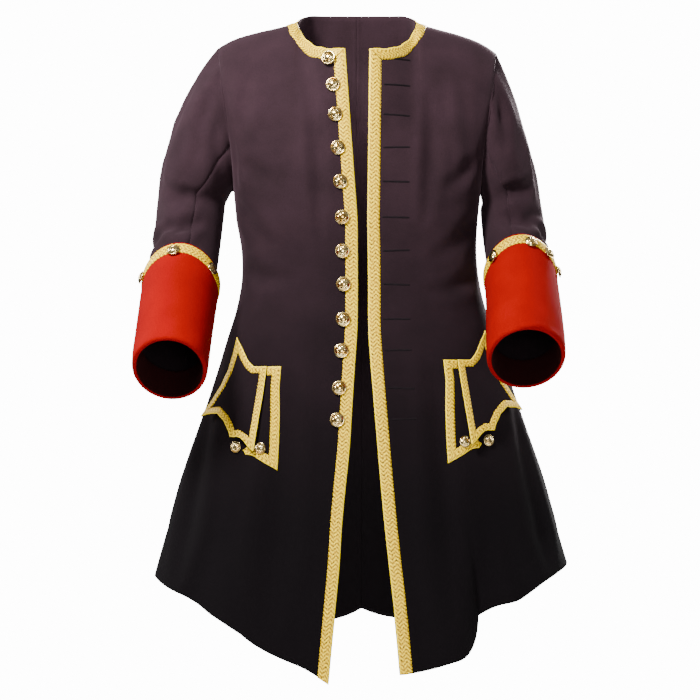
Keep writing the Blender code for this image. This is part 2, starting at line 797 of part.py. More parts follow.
def make_front_laces(panels):
    for side_name, side in SIDES.items():
        grid, normals = panels[(side_name, False)]
        edge = grid[::-1, 0]
        step = grid[::-1, 1] - edge
        share = FRONT_LACE_WIDTH / np.linalg.norm(step, axis=1, keepdims=True)
        far = edge + step * share
        edge_normals = normals[::-1, 0]
        far_normals = edge_normals * (1 - share) + normals[::-1, 1] * share
        edge_lengths = line_lengths(edge)
        far_lengths = line_lengths(far)
        rows = []
        row_normals = []
        for index, distance in enumerate(edge_lengths):
            shifted = distance + mitre_shift(distance, FRONT_LACE_WIDTH)
            if index == len(edge_lengths) - 1:
                shifted = far_lengths[-1]
            start = edge[index]
            if index == 0:
                start = place_on_line(edge, edge_lengths, SEAM_PULL * 2)
            place = place_on_line(far, far_lengths, shifted + SEAM_PULL * 2)
            facing = place_on_line(far_normals, far_lengths, shifted)
            rows.append((start, place))
            row_normals.append((edge_normals[index], facing / np.linalg.norm(facing)))
        sheet_solid(
            "front_lace_" + side_name,
            np.array(rows),
            np.array(row_normals),
            LACE_LIFT,
            LACE_LIFT + LACE_THICKNESS,
            LACE_LOOK,
        )


def neckline(panels):
    """Points along the neckline from one front corner round the back to the other."""
    path = []
    path.extend(panels[("right", False)][0][-1, : NECK_POINT + 1])
    path.extend(panels[("right", True)][0][-1, :NECK_POINT][::-1])
    path.extend(panels[("left", True)][0][-1, 1 : NECK_POINT + 1])
    path.extend(panels[("left", False)][0][-1, :NECK_POINT][::-1])
    dense = []
    for start, end in zip(path[:-1], path[1:]):
        dense.append(start)
        dense.append((start + end) / 2)
    dense.append(path[-1])
    return np.array(dense)


def make_neck_lace(panels, surface):
    path = neckline(panels)
    lengths = line_lengths(path)
    tangents = np.gradient(path, axis=0)
    tangents /= np.linalg.norm(tangents, axis=1, keepdims=True)
    rows = []
    row_normals = []
    for index, point in enumerate(path):
        _, normal = surface.nearest(point)
        away = np.cross(normal, tangents[index])
        from_start = lengths[index]
        from_end = lengths[-1] - lengths[index]
        line = []
        line_normals = []
        for part in NECK_LACE_SHARES:
            shift = mitre_shift(from_start, NECK_LACE_WIDTH) - mitre_shift(from_end, NECK_LACE_WIDTH)
            reach = point + away * NECK_LACE_WIDTH * part + tangents[index] * shift * part
            place, facing = surface.nearest(reach)
            line.append(place)
            line_normals.append(facing)
        rows.append(line)
        row_normals.append(line_normals)
    grid = np.array(rows)
    normals = np.array(row_normals)
    lifts = raised_clear(grid, normals, surface, LACE_LIFT)
    sheet_solid("neck_lace", grid, normals, lifts, lifts + LACE_THICKNESS, LACE_LOOK)


def turned_button(name, place, normal, radius, seat):
    """Domed button with a short shank, its axis along the surface normal."""
    axis = normal / np.linalg.norm(normal)
    across = np.cross(axis, np.array((0.0, 0.0, 1.0)))
    across /= np.linalg.norm(across)
    upwards = np.cross(across, axis)
    vertices = []
    for turned in BUTTON_PROFILE:
        for segment in range(BUTTON_SEGMENTS):
            angle = 2 * math.pi * segment / BUTTON_SEGMENTS
            sideways = across * math.cos(angle) + upwards * math.sin(angle)
            rise = axis * (seat + turned.height * radius)
            vertices.append(place + sideways * turned.radius * radius + rise)
    faces = []
    for ring in range(len(BUTTON_PROFILE) - 1):
        for segment in range(BUTTON_SEGMENTS):
            beside = (segment + 1) % BUTTON_SEGMENTS
            low = ring * BUTTON_SEGMENTS
            high = low + BUTTON_SEGMENTS
            faces.append((low + segment, low + beside, high + beside, high + segment))
    faces.append(tuple(range(BUTTON_SEGMENTS)))
    last = (len(BUTTON_PROFILE) - 1) * BUTTON_SEGMENTS
    faces.append(tuple(range(last, last + BUTTON_SEGMENTS)))
    add_object(name, vertices, faces, BUTTON_LOOK)


def make_front_buttons(panels, surface):
    """Twelve buttons down the wearer's right front."""
    grid, _ = panels[("right", False)]
    heights = grid[:, 0, 2]
    for number, button in enumerate(FRONT_BUTTONS, start=1):
        edge = np.array([np.interp(button.height, heights, grid[:, 0, a]) for a in range(3)])
        inner = np.array([np.interp(button.height, heights, grid[:, 1, a]) for a in range(3)])
        step = (inner - edge) / np.linalg.norm(inner - edge)
        place, normal = surface.nearest(edge + step * button.from_edge)
        seat = TOP_BUTTON_SEAT if number == 1 else BUTTON_SEAT_GAP
        turned_button(f"front_button_{number:02d}", place, normal, BUTTON_RADIUS, seat)


def make_cuff_buttons():
    seat = LACE_LIFT + LACE_THICKNESS + BUTTON_SEAT_GAP
    for side_name, side in SIDES.items():
        mouth = ARMS[side][-1].along
        for number, angle in enumerate(CUFF_BUTTON_ANGLES[side], start=1):
            column = SLEEVE_COLUMNS * angle / 360
            top = cuff_top(side, column)
            along = top + CUFF_BUTTON_DROP
            lift = cuff_lift((mouth - along) / (mouth - top))
            low_column = math.floor(column)
            share = column - low_column

            def flat(distance):
                first = arm_section(side, distance, low_column, lift)
                second = arm_section(side, distance, low_column + 1, lift)
                return first * (1 - share) + second * share

            place = flat(along)
            chord = arm_section(side, along, low_column + 1, lift)
            chord = chord - arm_section(side, along, low_column, lift)
            normal = np.cross(chord, flat(along + CUFF_BUTTON_STEP) - place) * side
            name = f"cuff_button_{side_name}_{number}"
            turned_button(name, place, normal, CUFF_BUTTON_RADIUS, seat)


def make_pocket_buttons(surface):
    for side_name, side in SIDES.items():
        for number, button in enumerate(POCKET_BUTTONS, start=1):
            height = button.height + POCKET_RISE[side]
            place, normal = surface.nearest(body_point(side, button.turn, height))
            name = f"pocket_button_{side_name}_{number}"
            turned_button(name, place, normal, POCKET_BUTTON_RADIUS, button.seat)


def divided(points, step, closed):
    """The line through the points with no step longer than asked."""
    points = list(points)
    if closed:
        points.append(points[0])
    line = [points[0]]
    for start, end in zip(points[:-1], points[1:]):
        count = max(1, math.ceil(np.linalg.norm(end - start) / step))
        for part in range(1, count + 1):
            line.append(start + (end - start) * part / count)
    if closed:
        line.pop()
    return np.array(line)


def inner_line(points, normals, width, closed):
    """Line at an even width to one side of a line on a surface, mitred at its corners."""
    count = len(points)
    steps = count if closed else count - 1
    sides = []
    for index in range(steps):
        sideways = np.cross(normals[index], points[(index + 1) % count] - points[index])
        sides.append(sideways / np.linalg.norm(sideways))
    beside = []
    corners = []
    for index in range(count):
        before = sides[index - 1] if index > 0 or closed else sides[0]
        after = sides[min(index, steps - 1)]
        turn = float(np.dot(before, after))
        beside.append(points[index] + (before + after) / max(1 + turn, SHARPEST_MITRE) * width)
        if turn < CORNER_COSINE or (not closed and index in (0, count - 1)):
            corners.append(index)
    found = np.array(beside)
    ends = corners[1:] + ([corners[0] + count] if closed else [])
    for start, end in zip(corners, ends):
        picked = [index % count for index in range(start, end + 1)]
        stretch = points[picked]
        kept = [beside[picked[0]]]
        for index in picked[1:-1]:
            past_start = np.dot(beside[index] - kept[0], stretch[1] - stretch[0]) > 0
            before_end = np.dot(beside[picked[-1]] - beside[index], stretch[-1] - stretch[-2]) > 0
            if past_start and before_end:
                kept.append(beside[index])
        kept = np.array(kept + [beside[picked[-1]]])
        lengths = line_lengths(kept)
        outer_lengths = line_lengths(stretch)
        for index, distance in zip(picked, outer_lengths):
            share = distance / outer_lengths[-1]
            found[index] = place_on_line(kept, lengths, share * lengths[-1])
    return found


def laid_strip(name, surface, outline, width, closed, look):
    """Lace strip between a line on a surface and a line at an even width inside it."""
    line = divided(outline, OUTLINE_STEP, closed)
    placed = [surface.nearest(point) for point in line]
    points = np.array([place for place, _ in placed])
    normals = np.array([normal for _, normal in placed])
    inner = [surface.nearest(point) for point in inner_line(points, normals, width, closed)]
    grid = np.stack((points, np.array([place for place, _ in inner])), axis=1)
    facing = np.stack((normals, np.array([normal for _, normal in inner])), axis=1)
    lifts = raised_clear(grid, facing, surface, LACE_LIFT, closed_rows=closed)
    sheet_solid(name, grid, facing, lifts, lifts + LACE_THICKNESS, look, closed_rows=closed)


def flap_grid(side, surface):
    """Points of a flap on the coat, rows from top to bottom, and how far its back lies off."""
    rows = []
    lifts = []
    for row in range(FLAP_ROWS + 1):
        part = row / FLAP_ROWS
        line = []
        for flap in FLAP_LINES:
            turn = flap.top_turn + (flap.low_turn - flap.top_turn) * part
            turn -= flap.bow * math.sin(math.pi * part)
            height = flap.top_height + (flap.low_height - flap.top_height) * part
            line.append(surface.nearest(body_point(side, turn, height + POCKET_RISE[side])))
        rows.append(line)
        stand_off = (FLAP_STAND_OFF - FLAP_TOP_LIFT) * part**FLAP_STAND_OFF_CURVE
        lifts.append([FLAP_TOP_LIFT + stand_off] * len(line))
    grid = np.array([[place for place, _ in line] for line in rows])
    normals = np.array([[normal for _, normal in line] for line in rows])
    return grid, normals, np.array(lifts)


def make_pockets(surface):
    for side_name, side in SIDES.items():
        frame = []
        for outline in FRAME_OUTLINE:
            frame.append(body_point(side, outline.turn, outline.height + POCKET_RISE[side]))
        if side < 0:
            frame.reverse()
        laid_strip(
            "pocket_lace_" + side_name, surface, frame, FRAME_LACE_WIDTH, False, LACE_LOOK
        )
        grid, normals, lifts = flap_grid(side, surface)
        lifts = raised_clear(grid, normals, surface, lifts)
        flap_name = "pocket_flap_" + side_name
        sheet_solid(flap_name, grid, normals, lifts, lifts + CLOTH_WALL, BODY_LOOK)
        outer = grid + normals * (lifts + CLOTH_WALL)
        sign = -side
        flap_normals = shared_normals([outer], [sign])[0]
        flap_surface = LaidSurface([outer], [flap_normals], [sign])
        border = list(outer[0]) + list(outer[1:, -1]) + list(outer[-1, -2::-1])
        border += list(outer[-2:0:-1, 0])
        if side > 0:
            border.reverse()
        laid_strip(
            "flap_lace_" + side_name, flap_surface, border, FLAP_LACE_WIDTH, True, LACE_LOOK
        )


def main():
    for old in list(bpy.data.objects):
        bpy.data.objects.remove(old)
    panels, surface = make_body()
    make_sleeves(panels)
    make_cuffs()
    make_cuff_laces()
    make_front_laces(panels)
    make_neck_lace(panels, surface)
    make_pockets(surface)
    make_front_buttons(panels, surface)
    make_cuff_buttons()
    make_pocket_buttons(surface)


main()
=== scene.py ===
import json
import math

import bmesh
import bpy
import numpy as np
from mathutils import Matrix, Vector
from mathutils.bvhtree import BVHTree
from mathutils.kdtree import KDTree

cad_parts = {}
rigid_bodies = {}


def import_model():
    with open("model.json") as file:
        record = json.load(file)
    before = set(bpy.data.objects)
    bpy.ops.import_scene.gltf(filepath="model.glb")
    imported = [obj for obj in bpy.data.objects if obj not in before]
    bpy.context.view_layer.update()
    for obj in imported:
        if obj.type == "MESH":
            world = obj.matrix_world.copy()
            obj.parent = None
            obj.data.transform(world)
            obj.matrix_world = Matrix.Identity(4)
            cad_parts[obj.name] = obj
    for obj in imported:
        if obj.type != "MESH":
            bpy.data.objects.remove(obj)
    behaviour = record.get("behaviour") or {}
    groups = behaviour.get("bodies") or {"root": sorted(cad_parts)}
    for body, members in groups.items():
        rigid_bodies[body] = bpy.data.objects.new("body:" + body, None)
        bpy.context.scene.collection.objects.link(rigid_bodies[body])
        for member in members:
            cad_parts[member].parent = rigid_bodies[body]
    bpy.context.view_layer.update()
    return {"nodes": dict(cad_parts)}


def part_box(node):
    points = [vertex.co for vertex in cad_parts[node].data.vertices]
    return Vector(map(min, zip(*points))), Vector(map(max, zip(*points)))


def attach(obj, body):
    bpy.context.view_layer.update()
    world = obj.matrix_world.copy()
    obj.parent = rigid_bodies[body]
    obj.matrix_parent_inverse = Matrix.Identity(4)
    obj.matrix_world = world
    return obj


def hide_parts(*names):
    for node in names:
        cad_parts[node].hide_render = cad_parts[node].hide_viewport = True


for startup in list(bpy.data.objects):
    bpy.data.objects.remove(startup)
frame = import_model()
nodes = frame["nodes"]
sides = {"right": -1, "left": 1}  # the wearer's right is towards -X
print("frame loaded,", len(nodes), "nodes")

# Camera at the photo's height and distance, level, square to the front.
cameraView = {"place": (-0.0116, -2.8, -0.5425), "lens": 86.8, "sensor": 36.0}


def makeCamera():
    data = bpy.data.cameras.new("photoCamera")
    data.lens = cameraView["lens"]
    data.sensor_width = cameraView["sensor"]
    data.clip_end = 50
    camera = bpy.data.objects.new("photoCamera", data)
    camera.location = cameraView["place"]
    camera.rotation_euler = (math.radians(90), 0, 0)
    bpy.context.scene.collection.objects.link(camera)
    bpy.context.scene.camera = camera


# Reading the cloth's lines from the frame

reading = {"merge": 0.00002, "rim": 1.3, "sameTurn": 0.98}


def mergedCopy(node):
    # a node's triangles with their shared points joined
    work = bmesh.new()
    work.from_mesh(nodes[node].data)
    bmesh.ops.remove_doubles(work, verts=work.verts, dist=reading["merge"])
    work.normal_update()
    work.faces.ensure_lookup_table()
    work.faces.index_update()
    return work


def outerPatch(work, centre):
    # the wall's outer face, which lies between the narrow faces of its rim
    widest = reading["rim"] * min(edge.calc_length() for edge in work.edges)
    wideFaces = [face for face in work.faces if min(edge.calc_length() for edge in face.edges) > widest]
    waiting = {face.index: face for face in wideFaces}
    patches = []
    while waiting:
        # from the lowest number on, so that every run starts at the same face
        patch = [waiting.pop(min(waiting))]
        for face in patch:
            for edge in face.edges:
                for other in edge.link_faces:
                    if other.index in waiting:
                        patch.append(waiting.pop(other.index))
        patches.append(patch)

    def facesAway(patch):
        return sum(face.normal.dot(face.calc_center_median() - centre) * face.calc_area() for face in patch)

    return max(patches, key=facesAway)


def borderLoops(patch):
    inside = set(patch)
    following = {}
    for face in patch:
        for loop in face.loops:
            if not any(other in inside for other in loop.edge.link_faces if other is not face):
                following[loop.vert] = loop.link_loop_next.vert
    loops = []
    while following:
        start, vert = following.popitem()
        ring = [start]
        while vert is not start:
            ring.append(vert)
            vert = following.pop(vert)
        loops.append(ring)
    return loops


def openGrid(patch, columns):
    # points of a four-sided patch, rows from the lowest side up, columns anticlockwise
    ring = borderLoops(patch)[0]
    count = len(ring)
    members = {vert for face in patch for vert in face.verts}
    rows = len(members) // columns
    turns = []
    for index, vert in enumerate(ring):
        before = (vert.co - ring[index - 1].co).normalized()
        after = (ring[(index + 1) % count].co - vert.co).normalized()
        turns.append(before.angle(after))
    steps = (0, columns - 1, columns + rows - 2, 2 * columns + rows - 3)
    scores = [sum(turns[(start + step) % count] for step in steps) for start in range(count)]
    likely = [s for s in range(count) if scores[s] > max(scores) * reading["sameTurn"]]

    def lineHeight(start):
        return sum(ring[(start + step) % count].co.z for step in range(columns)) / columns

    start = min(likely, key=lineHeight)
    row = [ring[(start + step) % count] for step in range(columns)]
    visited = set(row)
    grid = [row]
    for number in range(1, rows):
        near = {edge.other_vert(vert) for vert in row for edge in vert.link_edges}
        near = (near & members) - visited
        line = [ring[(start - number) % count]]
        near.discard(line[0])
        while near:
            beside = [edge.other_vert(line[-1]) for edge in line[-1].link_edges]
            beside = [vert for vert in beside if vert in near]
            line.append(beside[0])
            near.discard(beside[0])
        visited.update(line)
        grid.append(line)
        row = line
    return np.array([[vert.co[:] for vert in line] for line in grid])


def bandGrid(patch):
    # points of a closed band, rows round it, two columns
    first, second = [np.array([vert.co[:] for vert in ring]) for ring in borderLoops(patch)]
    first = first[::-1]
    spans = [np.linalg.norm(first - np.roll(second, shift, axis=0), axis=1).sum()
             for shift in range(len(second))]
    second = np.roll(second, int(np.argmin(spans)), axis=0)
    return np.stack((first, second), axis=1)


def middleOf(*names):
    corners = [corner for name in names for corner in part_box(name)]
    return sum(corners, Vector()) / len(corners)


def readGrid(node, centre, columns=None):
    work = mergedCopy(node)
    patch = outerPatch(work, centre)
    grid = openGrid(patch, columns) if columns else bandGrid(patch)
    work.free()
    return grid


# Finer smooth sheets through those lines

def finer(grid, axis, spacing, corners=(), closed=False):
    # new lines through the points along one axis, about one spacing apart
    points = np.moveaxis(grid, axis, 0)
    wrapped = 3 if closed else 0
    if closed:
        points = np.concatenate((points[-wrapped:], points, points[:wrapped + 1]))
    gaps = np.linalg.norm(np.diff(points, axis=0), axis=-1).reshape(len(points) - 1, -1).mean(axis=1)
    places = np.concatenate(([0.0], np.cumsum(gaps)))
    cuts = [0, *corners, len(points) - 1]
    lines = []
    for first, last in zip(cuts, cuts[1:]):
        part = points[first:last + 1]
        slopes = np.gradient(part, places[first:last + 1], axis=0, edge_order=min(2, last - first))
        for index in range(last - first):
            if closed and not wrapped <= first + index < len(points) - wrapped - 1:
                continue
            gap = gaps[first + index]
            count = max(1, round(gap / spacing))
            for step in range(count):
                t = step / count
                lines.append(
                    (1 + 2 * t) * (1 - t) ** 2 * part[index]
                    + t * (1 - t) ** 2 * gap * slopes[index]
                    + t * t * (3 - 2 * t) * part[index + 1]
                    + t * t * (t - 1) * gap * slopes[index + 1]
                )
    if not closed:
        lines.append(points[-1])
    return np.moveaxis(np.array(lines), 0, axis)


def gridNormals(grid, closed=False):
    rowStep = np.roll(grid, -1, axis=0) - np.roll(grid, 1, axis=0) if closed else np.gradient(grid, axis=0)
    columnStep = np.gradient(grid, axis=1)
    facing = np.cross(columnStep, rowStep)
    return facing / np.maximum(np.linalg.norm(facing, axis=-1, keepdims=True), 1e-12)


def gridLengths(grid, axis):
    steps = np.linalg.norm(np.diff(grid, axis=axis), axis=-1)
    start = np.zeros_like(np.take(steps, [0], axis=axis))
    return np.concatenate((start, np.cumsum(steps, axis=axis)), axis=axis)


def surfaceTree(grids):
    verts = []
    faces = []
    for grid in grids:
        start = len(verts)
        rows, columns = grid.shape[:2]
        verts.extend(map(Vector, grid.reshape(-1, 3)))
        for row in range(rows - 1):
            for column in range(columns - 1):
                first = start + row * columns + column
                faces.append((first, first + 1, first + columns + 1, first + columns))
    return BVHTree.FromPolygons(verts, faces)


# Creases, each a soft trough (or ridge, where the depth is below nothing) along a line that
# is seen from one side: "front" and "back" lines are (x, z), "right" and "left" are (y, z).

views = {
    "front": lambda a, b: (Vector((a, -2, b)), Vector((0, 1, 0))),
    "back": lambda a, b: (Vector((a, 2, b)), Vector((0, -1, 0))),
    "right": lambda a, b: (Vector((-2, a, b)), Vector((1, 0, 0))),
    "left": lambda a, b: (Vector((2, a, b)), Vector((-1, 0, 0))),
}
creaseShape = {"strength": 2.3, "step": 0.010, "jump": 0.045, "taper": 0.8, "narrowest": 0.55,
               "shoulder": 0.38, "shoulderAt": 1.9, "shoulderWidth": 0.8, "reach": 3.2,
               "armholeReach": 0.024}


def fold(seen, width, depth, path, deepest=0.5):
    # one row of a crease table, in millimetres; it is deepest at that share of its length
    return {"seen": seen, "width": width / 1000, "depth": depth / 1000, "deepest": deepest,
            "path": [(first / 1000, second / 1000) for first, second in path]}


def creaseLine(tree, crease):
    points = []
    ends = crease["path"]
    for start, end in zip(ends, ends[1:]):
        count = max(1, round(math.dist(start, end) / creaseShape["step"]))
        for part in range(count):
            share = part / count
            points.append([start[i] + (end[i] - start[i]) * share for i in (0, 1)])
    points.append(ends[-1])
    line = []
    for point in points:
        origin, direction = views[crease["seen"]](*point)
        place = tree.ray_cast(origin, direction)[0]
        if place is not None and (not line or math.dist(place, line[-1]) < creaseShape["jump"]):
            line.append(place[:])
    return np.array(line)


def creaseShift(points, lines):
    # how far each point moves outwards
    flat = points.reshape(-1, 3)
    shift = np.zeros(len(flat))
    for crease, line in lines:
        if len(line) < 2:
            continue
        reach = crease["width"] * creaseShape["reach"]
        near = np.all((flat > line.min(axis=0) - reach) & (flat < line.max(axis=0) + reach), axis=1)
        if not near.any():
            continue
        places = flat[near]
        lengths = np.concatenate(([0.0], np.cumsum(np.linalg.norm(np.diff(line, axis=0), axis=1))))
        best = np.full(len(places), np.inf)
        along = np.zeros(len(places))
        for index in range(len(line) - 1):
            step = line[index + 1] - line[index]
            size = float(step @ step)
            share = np.clip((places - line[index]) @ step / size, 0, 1)
            away = np.linalg.norm(places - line[index] - share[:, None] * step, axis=1)
            closer = away < best
            best = np.where(closer, away, best)
            along = np.where(closer, lengths[index] + share * math.sqrt(size), along)
        part = along / lengths[-1]
        deepest = crease["deepest"]
        fade = np.where(part < deepest, part / deepest, (1 - part) / (1 - deepest))
        fade = np.clip(fade, 0, 1) ** creaseShape["taper"]
        narrowest = creaseShape["narrowest"]
        across = best / (crease["width"] * (narrowest + (1 - narrowest) * fade))
        shoulder = np.exp(-((across - creaseShape["shoulderAt"]) / creaseShape["shoulderWidth"]) ** 2)
        profile = np.exp(-across ** 2) - creaseShape["shoulder"] * shoulder
        shift[near] -= creaseShape["strength"] * crease["depth"] * fade * profile
    return shift.reshape(points.shape[:-1])


# Building pieces

def srgb(value):
    return [c / 12.92 if c <= 0.04045 else ((c + 0.055) / 1.055) ** 2.4
            for c in (int(value[i:i + 2], 16) / 255 for i in (1, 3, 5))]


def addPiece(name, wall, material, replaced):
    verts, faces, uvs = wall
    mesh = bpy.data.meshes.new(name)
    mesh.from_pydata([tuple(v) for v in verts], [], faces)
    layer = mesh.uv_layers.new(name="cut")
    loopVerts = np.zeros(len(mesh.loops), np.int32)
    mesh.loops.foreach_get("vertex_index", loopVerts)
    layer.data.foreach_set("uv", np.asarray(uvs, np.float32)[loopVerts].ravel())
    mesh.polygons.foreach_set("use_smooth", [True] * len(mesh.polygons))
    mesh.materials.append(material)
    piece = bpy.data.objects.new(name, mesh)
    bpy.context.scene.collection.objects.link(piece)
    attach(piece, "root")
    if replaced:
        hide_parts(*replaced)
    return piece


def gridFaces(rows, columns, start, flip, closed=False):
    row, column = np.meshgrid(np.arange(rows if closed else rows - 1), np.arange(columns - 1), indexing="ij")
    following = (row + 1) % rows
    quads = np.stack((row * columns + column, row * columns + column + 1,
                      following * columns + column + 1, following * columns + column), axis=-1).reshape(-1, 4)
    if flip:
        quads = quads[:, ::-1]
    return (quads + start).tolist()


def borderRing(rows, columns):
    ring = [(0, c) for c in range(columns)] + [(r, columns - 1) for r in range(1, rows)]
    ring += [(rows - 1, c) for c in range(columns - 2, -1, -1)] + [(r, 0) for r in range(rows - 2, 0, -1)]
    return [r * columns + c for r, c in ring]


def wallMesh(outer, inner, closed=False, rimOut=0.0):
    # a closed shell between two grids, with a rounded rim and with UVs in metres
    rows, columns = outer.shape[:2]
    count = rows * columns
    verts = [outer.reshape(-1, 3), inner.reshape(-1, 3)]
    faces = gridFaces(rows, columns, 0, False, closed) + gridFaces(rows, columns, count, True, closed)
    acrossLength = gridLengths(outer, 1)
    alongLength = gridLengths(outer, 0)
    uvs = np.stack((acrossLength.mean(axis=0)[None, :] + np.zeros((rows, 1)),
                    alongLength.mean(axis=1)[:, None] + np.zeros((1, columns))), axis=-1).reshape(-1, 2)
    middle = (outer + inner) / 2
    if closed:
        rings = [[r * columns for r in range(rows)][::-1], [r * columns + columns - 1 for r in range(rows)]]
    else:
        rings = [borderRing(rows, columns)]
    flatMiddle = middle.reshape(-1, 3)
    towards = np.zeros_like(middle)
    if not closed:
        towards[0] += middle[0] - middle[1]
        towards[-1] += middle[-1] - middle[-2]
    towards[:, 0] += middle[:, 0] - middle[:, 1]
    towards[:, -1] += middle[:, -1] - middle[:, -2]
    towards = towards.reshape(-1, 3)
    start = 2 * count
    for ring in rings:
        out = towards[ring]
        out /= np.maximum(np.linalg.norm(out, axis=1, keepdims=True), 1e-9)
        verts.append(flatMiddle[ring] + out * rimOut)
        size = len(ring)
        for index in range(size):
            here, beside = ring[index], ring[(index + 1) % size]
            low, lowBeside = start + index, start + (index + 1) % size
            faces.append((beside, here, low, lowBeside))
            faces.append((lowBeside, low, here + count, beside + count))
        start += size
    allUvs = np.concatenate([uvs, uvs] + [uvs[ring] for ring in rings])
    return np.concatenate(verts), faces, allUvs


# Materials

def addNode(tree, kind, settings=None, values=None, links=None):
    node = tree.nodes.new("ShaderNode" + kind)
    for key, value in (settings or {}).items():
        setattr(node, key, value)
    for key, value in (values or {}).items():
        node.inputs[key].default_value = value
    for key, (source, output) in (links or {}).items():
        tree.links.new(source.outputs[output], node.inputs[key])
    return node


def addMath(tree, operation, values, links):
    return addNode(tree, "Math", {"operation": operation}, values, links)


def addNoise(tree, sizeMm, detail, place, output="Object"):
    return addNode(tree, "TexNoise", values={"Scale": 1000 / sizeMm, "Detail": detail},
                   links={"Vector": (place, output)})


def addRamp(tree, source, output, stops):
    ramp = addNode(tree, "ValToRGB", links={"Fac": (source, output)})
    for index, (place, colour) in enumerate(stops):
        stop = ramp.color_ramp.elements[index] if index < 2 else ramp.color_ramp.elements.new(place)
        stop.position = place
        stop.color = (*srgb(colour), 1)
    return ramp


def addBump(tree, shader, strength, distance, source, output):
    bump = addNode(tree, "Bump", values={"Strength": strength, "Distance": distance},
                   links={"Height": (source, output)})
    tree.links.new(bump.outputs["Normal"], shader.inputs["Normal"])


def newMaterial(name, settings):
    material = bpy.data.materials.new(name)
    material.use_nodes = True
    tree = material.node_tree
    shader = tree.nodes["Principled BSDF"]
    for key, value in settings.items():
        shader.inputs[key].default_value = value
    return material, tree, shader


def woolBroadcloth(name, look):
    # milled woollen broadcloth: a felted face with a short nap, so no weave shows, only
    # a faint mottle and fibres; the real fibres are finer than the render can show
    material, tree, shader = newMaterial(name, {
        "Roughness": look["roughness"], "Sheen Roughness": 0.45,
        "Sheen Tint": (*srgb(look["sheenTint"]), 1), "Specular IOR Level": look["specular"],
    })
    place = addNode(tree, "TexCoord")
    mottle = addNoise(tree, look["mottleMm"], 4.0, place)
    nap = addNoise(tree, look["fibreMm"], 3.0, place)
    napPart = addMath(tree, "MULTIPLY", {1: 0.45}, {0: (nap, "Fac")})
    total = addMath(tree, "MULTIPLY_ADD", {1: 0.55}, {0: (mottle, "Fac"), 2: (napPart, "Value")})
    ramp = addRamp(tree, total, "Value", ((0.34, look["dark"]), (0.66, look["light"])))
    # painted shade: the cloth is painted darker towards the skirt and lighter on the shoulders and chest,
    # standing in for light falling off from above
    height = addNode(tree, "SeparateXYZ", links={"Vector": (place, "Object")})
    paintedLightShare = addNode(tree, "MapRange", {"interpolation_type": "SMOOTHSTEP"},
                    {"From Min": look["shadeFullBelow"], "From Max": look["shadeGoneAbove"], "To Min": 0.0, "To Max": 1.0},
                    {"Value": (height, "Z")})
    paintedShadeMix = addNode(tree, "Mix", {"data_type": "RGBA"}, links={0: (paintedLightShare, "Result")})
    paintedShadeMix.inputs["A"].default_value = (*srgb(look["paintedShadeColour"]), 1)
    tree.links.new(ramp.outputs["Color"], paintedShadeMix.inputs["B"])
    tree.links.new(paintedShadeMix.outputs["Result"], shader.inputs["Base Color"])
    # painted shade: the sheen is weakened towards the skirt by the same share
    paintedSheenShare = addMath(tree, "MULTIPLY", {1: look["sheen"]}, {0: (paintedLightShare, "Result")})
    tree.links.new(paintedSheenShare.outputs["Value"], shader.inputs["Sheen Weight"])
    addBump(tree, shader, 0.35, look["fibreMm"] / 4000, nap, "Fac")
    return material


def goldLace(name, look):
    # woven metal-thread lace: zigzag ribs of gilt thread on a darker silk ground, with a
    # plain selvedge along one edge; the real ribs are about 1.5 mm and drawn four times as coarse
    material, tree, shader = newMaterial(name, {
        "Metallic": look["metallic"], "Roughness": look["roughness"], "Specular IOR Level": look["specular"],
    })
    place = addNode(tree, "UVMap", {"uv_map": "cut"})
    cut = addNode(tree, "SeparateXYZ", links={"Vector": (place, "UV")})
    zigzag = addMath(tree, "PINGPONG", {1: look["zigzagMm"] / 1000}, {0: (cut, "X")})
    along = addMath(tree, "ADD", {}, {0: (cut, "Y"), 1: (zigzag, "Value")})
    turns = addMath(tree, "MULTIPLY", {1: 2 * math.pi * 1000 / look["ribMm"]}, {0: (along, "Value")})
    wave = addMath(tree, "SINE", {}, {0: (turns, "Value")})
    speckle = addNoise(tree, look["speckleMm"], 3.0, place, "UV")
    height = addMath(tree, "MULTIPLY_ADD", {1: look["ribShare"]}, {0: (wave, "Value"), 2: (speckle, "Fac")})
    stops = ((0.22, look["ground"]), (0.46, look["thread"]), (0.75, look["bright"]))
    ramp = addRamp(tree, height, "Value", stops)
    plain = addMath(tree, "LESS_THAN", {1: look["selvedgeMm"] / 1000}, {0: (cut, "X")})
    edge = addMath(tree, "MULTIPLY", {1: 0.7}, {0: (plain, "Value")})
    colour = addNode(tree, "Mix", {"data_type": "RGBA"}, links={0: (edge, "Value")})
    tree.links.new(ramp.outputs["Color"], colour.inputs["A"])
    colour.inputs["B"].default_value = (*srgb(look["bright"]), 1)
    tree.links.new(colour.outputs["Result"], shader.inputs["Base Color"])
    addBump(tree, shader, 0.6, 0.0005, height, "Value")
    return material


def giltBrass(name, look):
    # die-struck brass with a thin pale gilding, rubbed through in random patches
    material, tree, shader = newMaterial(name, {"Metallic": 1.0})
    place = addNode(tree, "TexCoord")
    wear = addNoise(tree, look["wearMm"], 4.0, place)
    ramp = addRamp(tree, wear, "Fac", ((0.35, look["dark"]), (0.6, look["light"])))
    tree.links.new(ramp.outputs["Color"], shader.inputs["Base Color"])
    rough = addMath(tree, "MULTIPLY_ADD", {1: -0.2, 2: look["roughness"] + 0.1}, {0: (wear, "Fac")})
    tree.links.new(rough.outputs["Value"], shader.inputs["Roughness"])
    return material


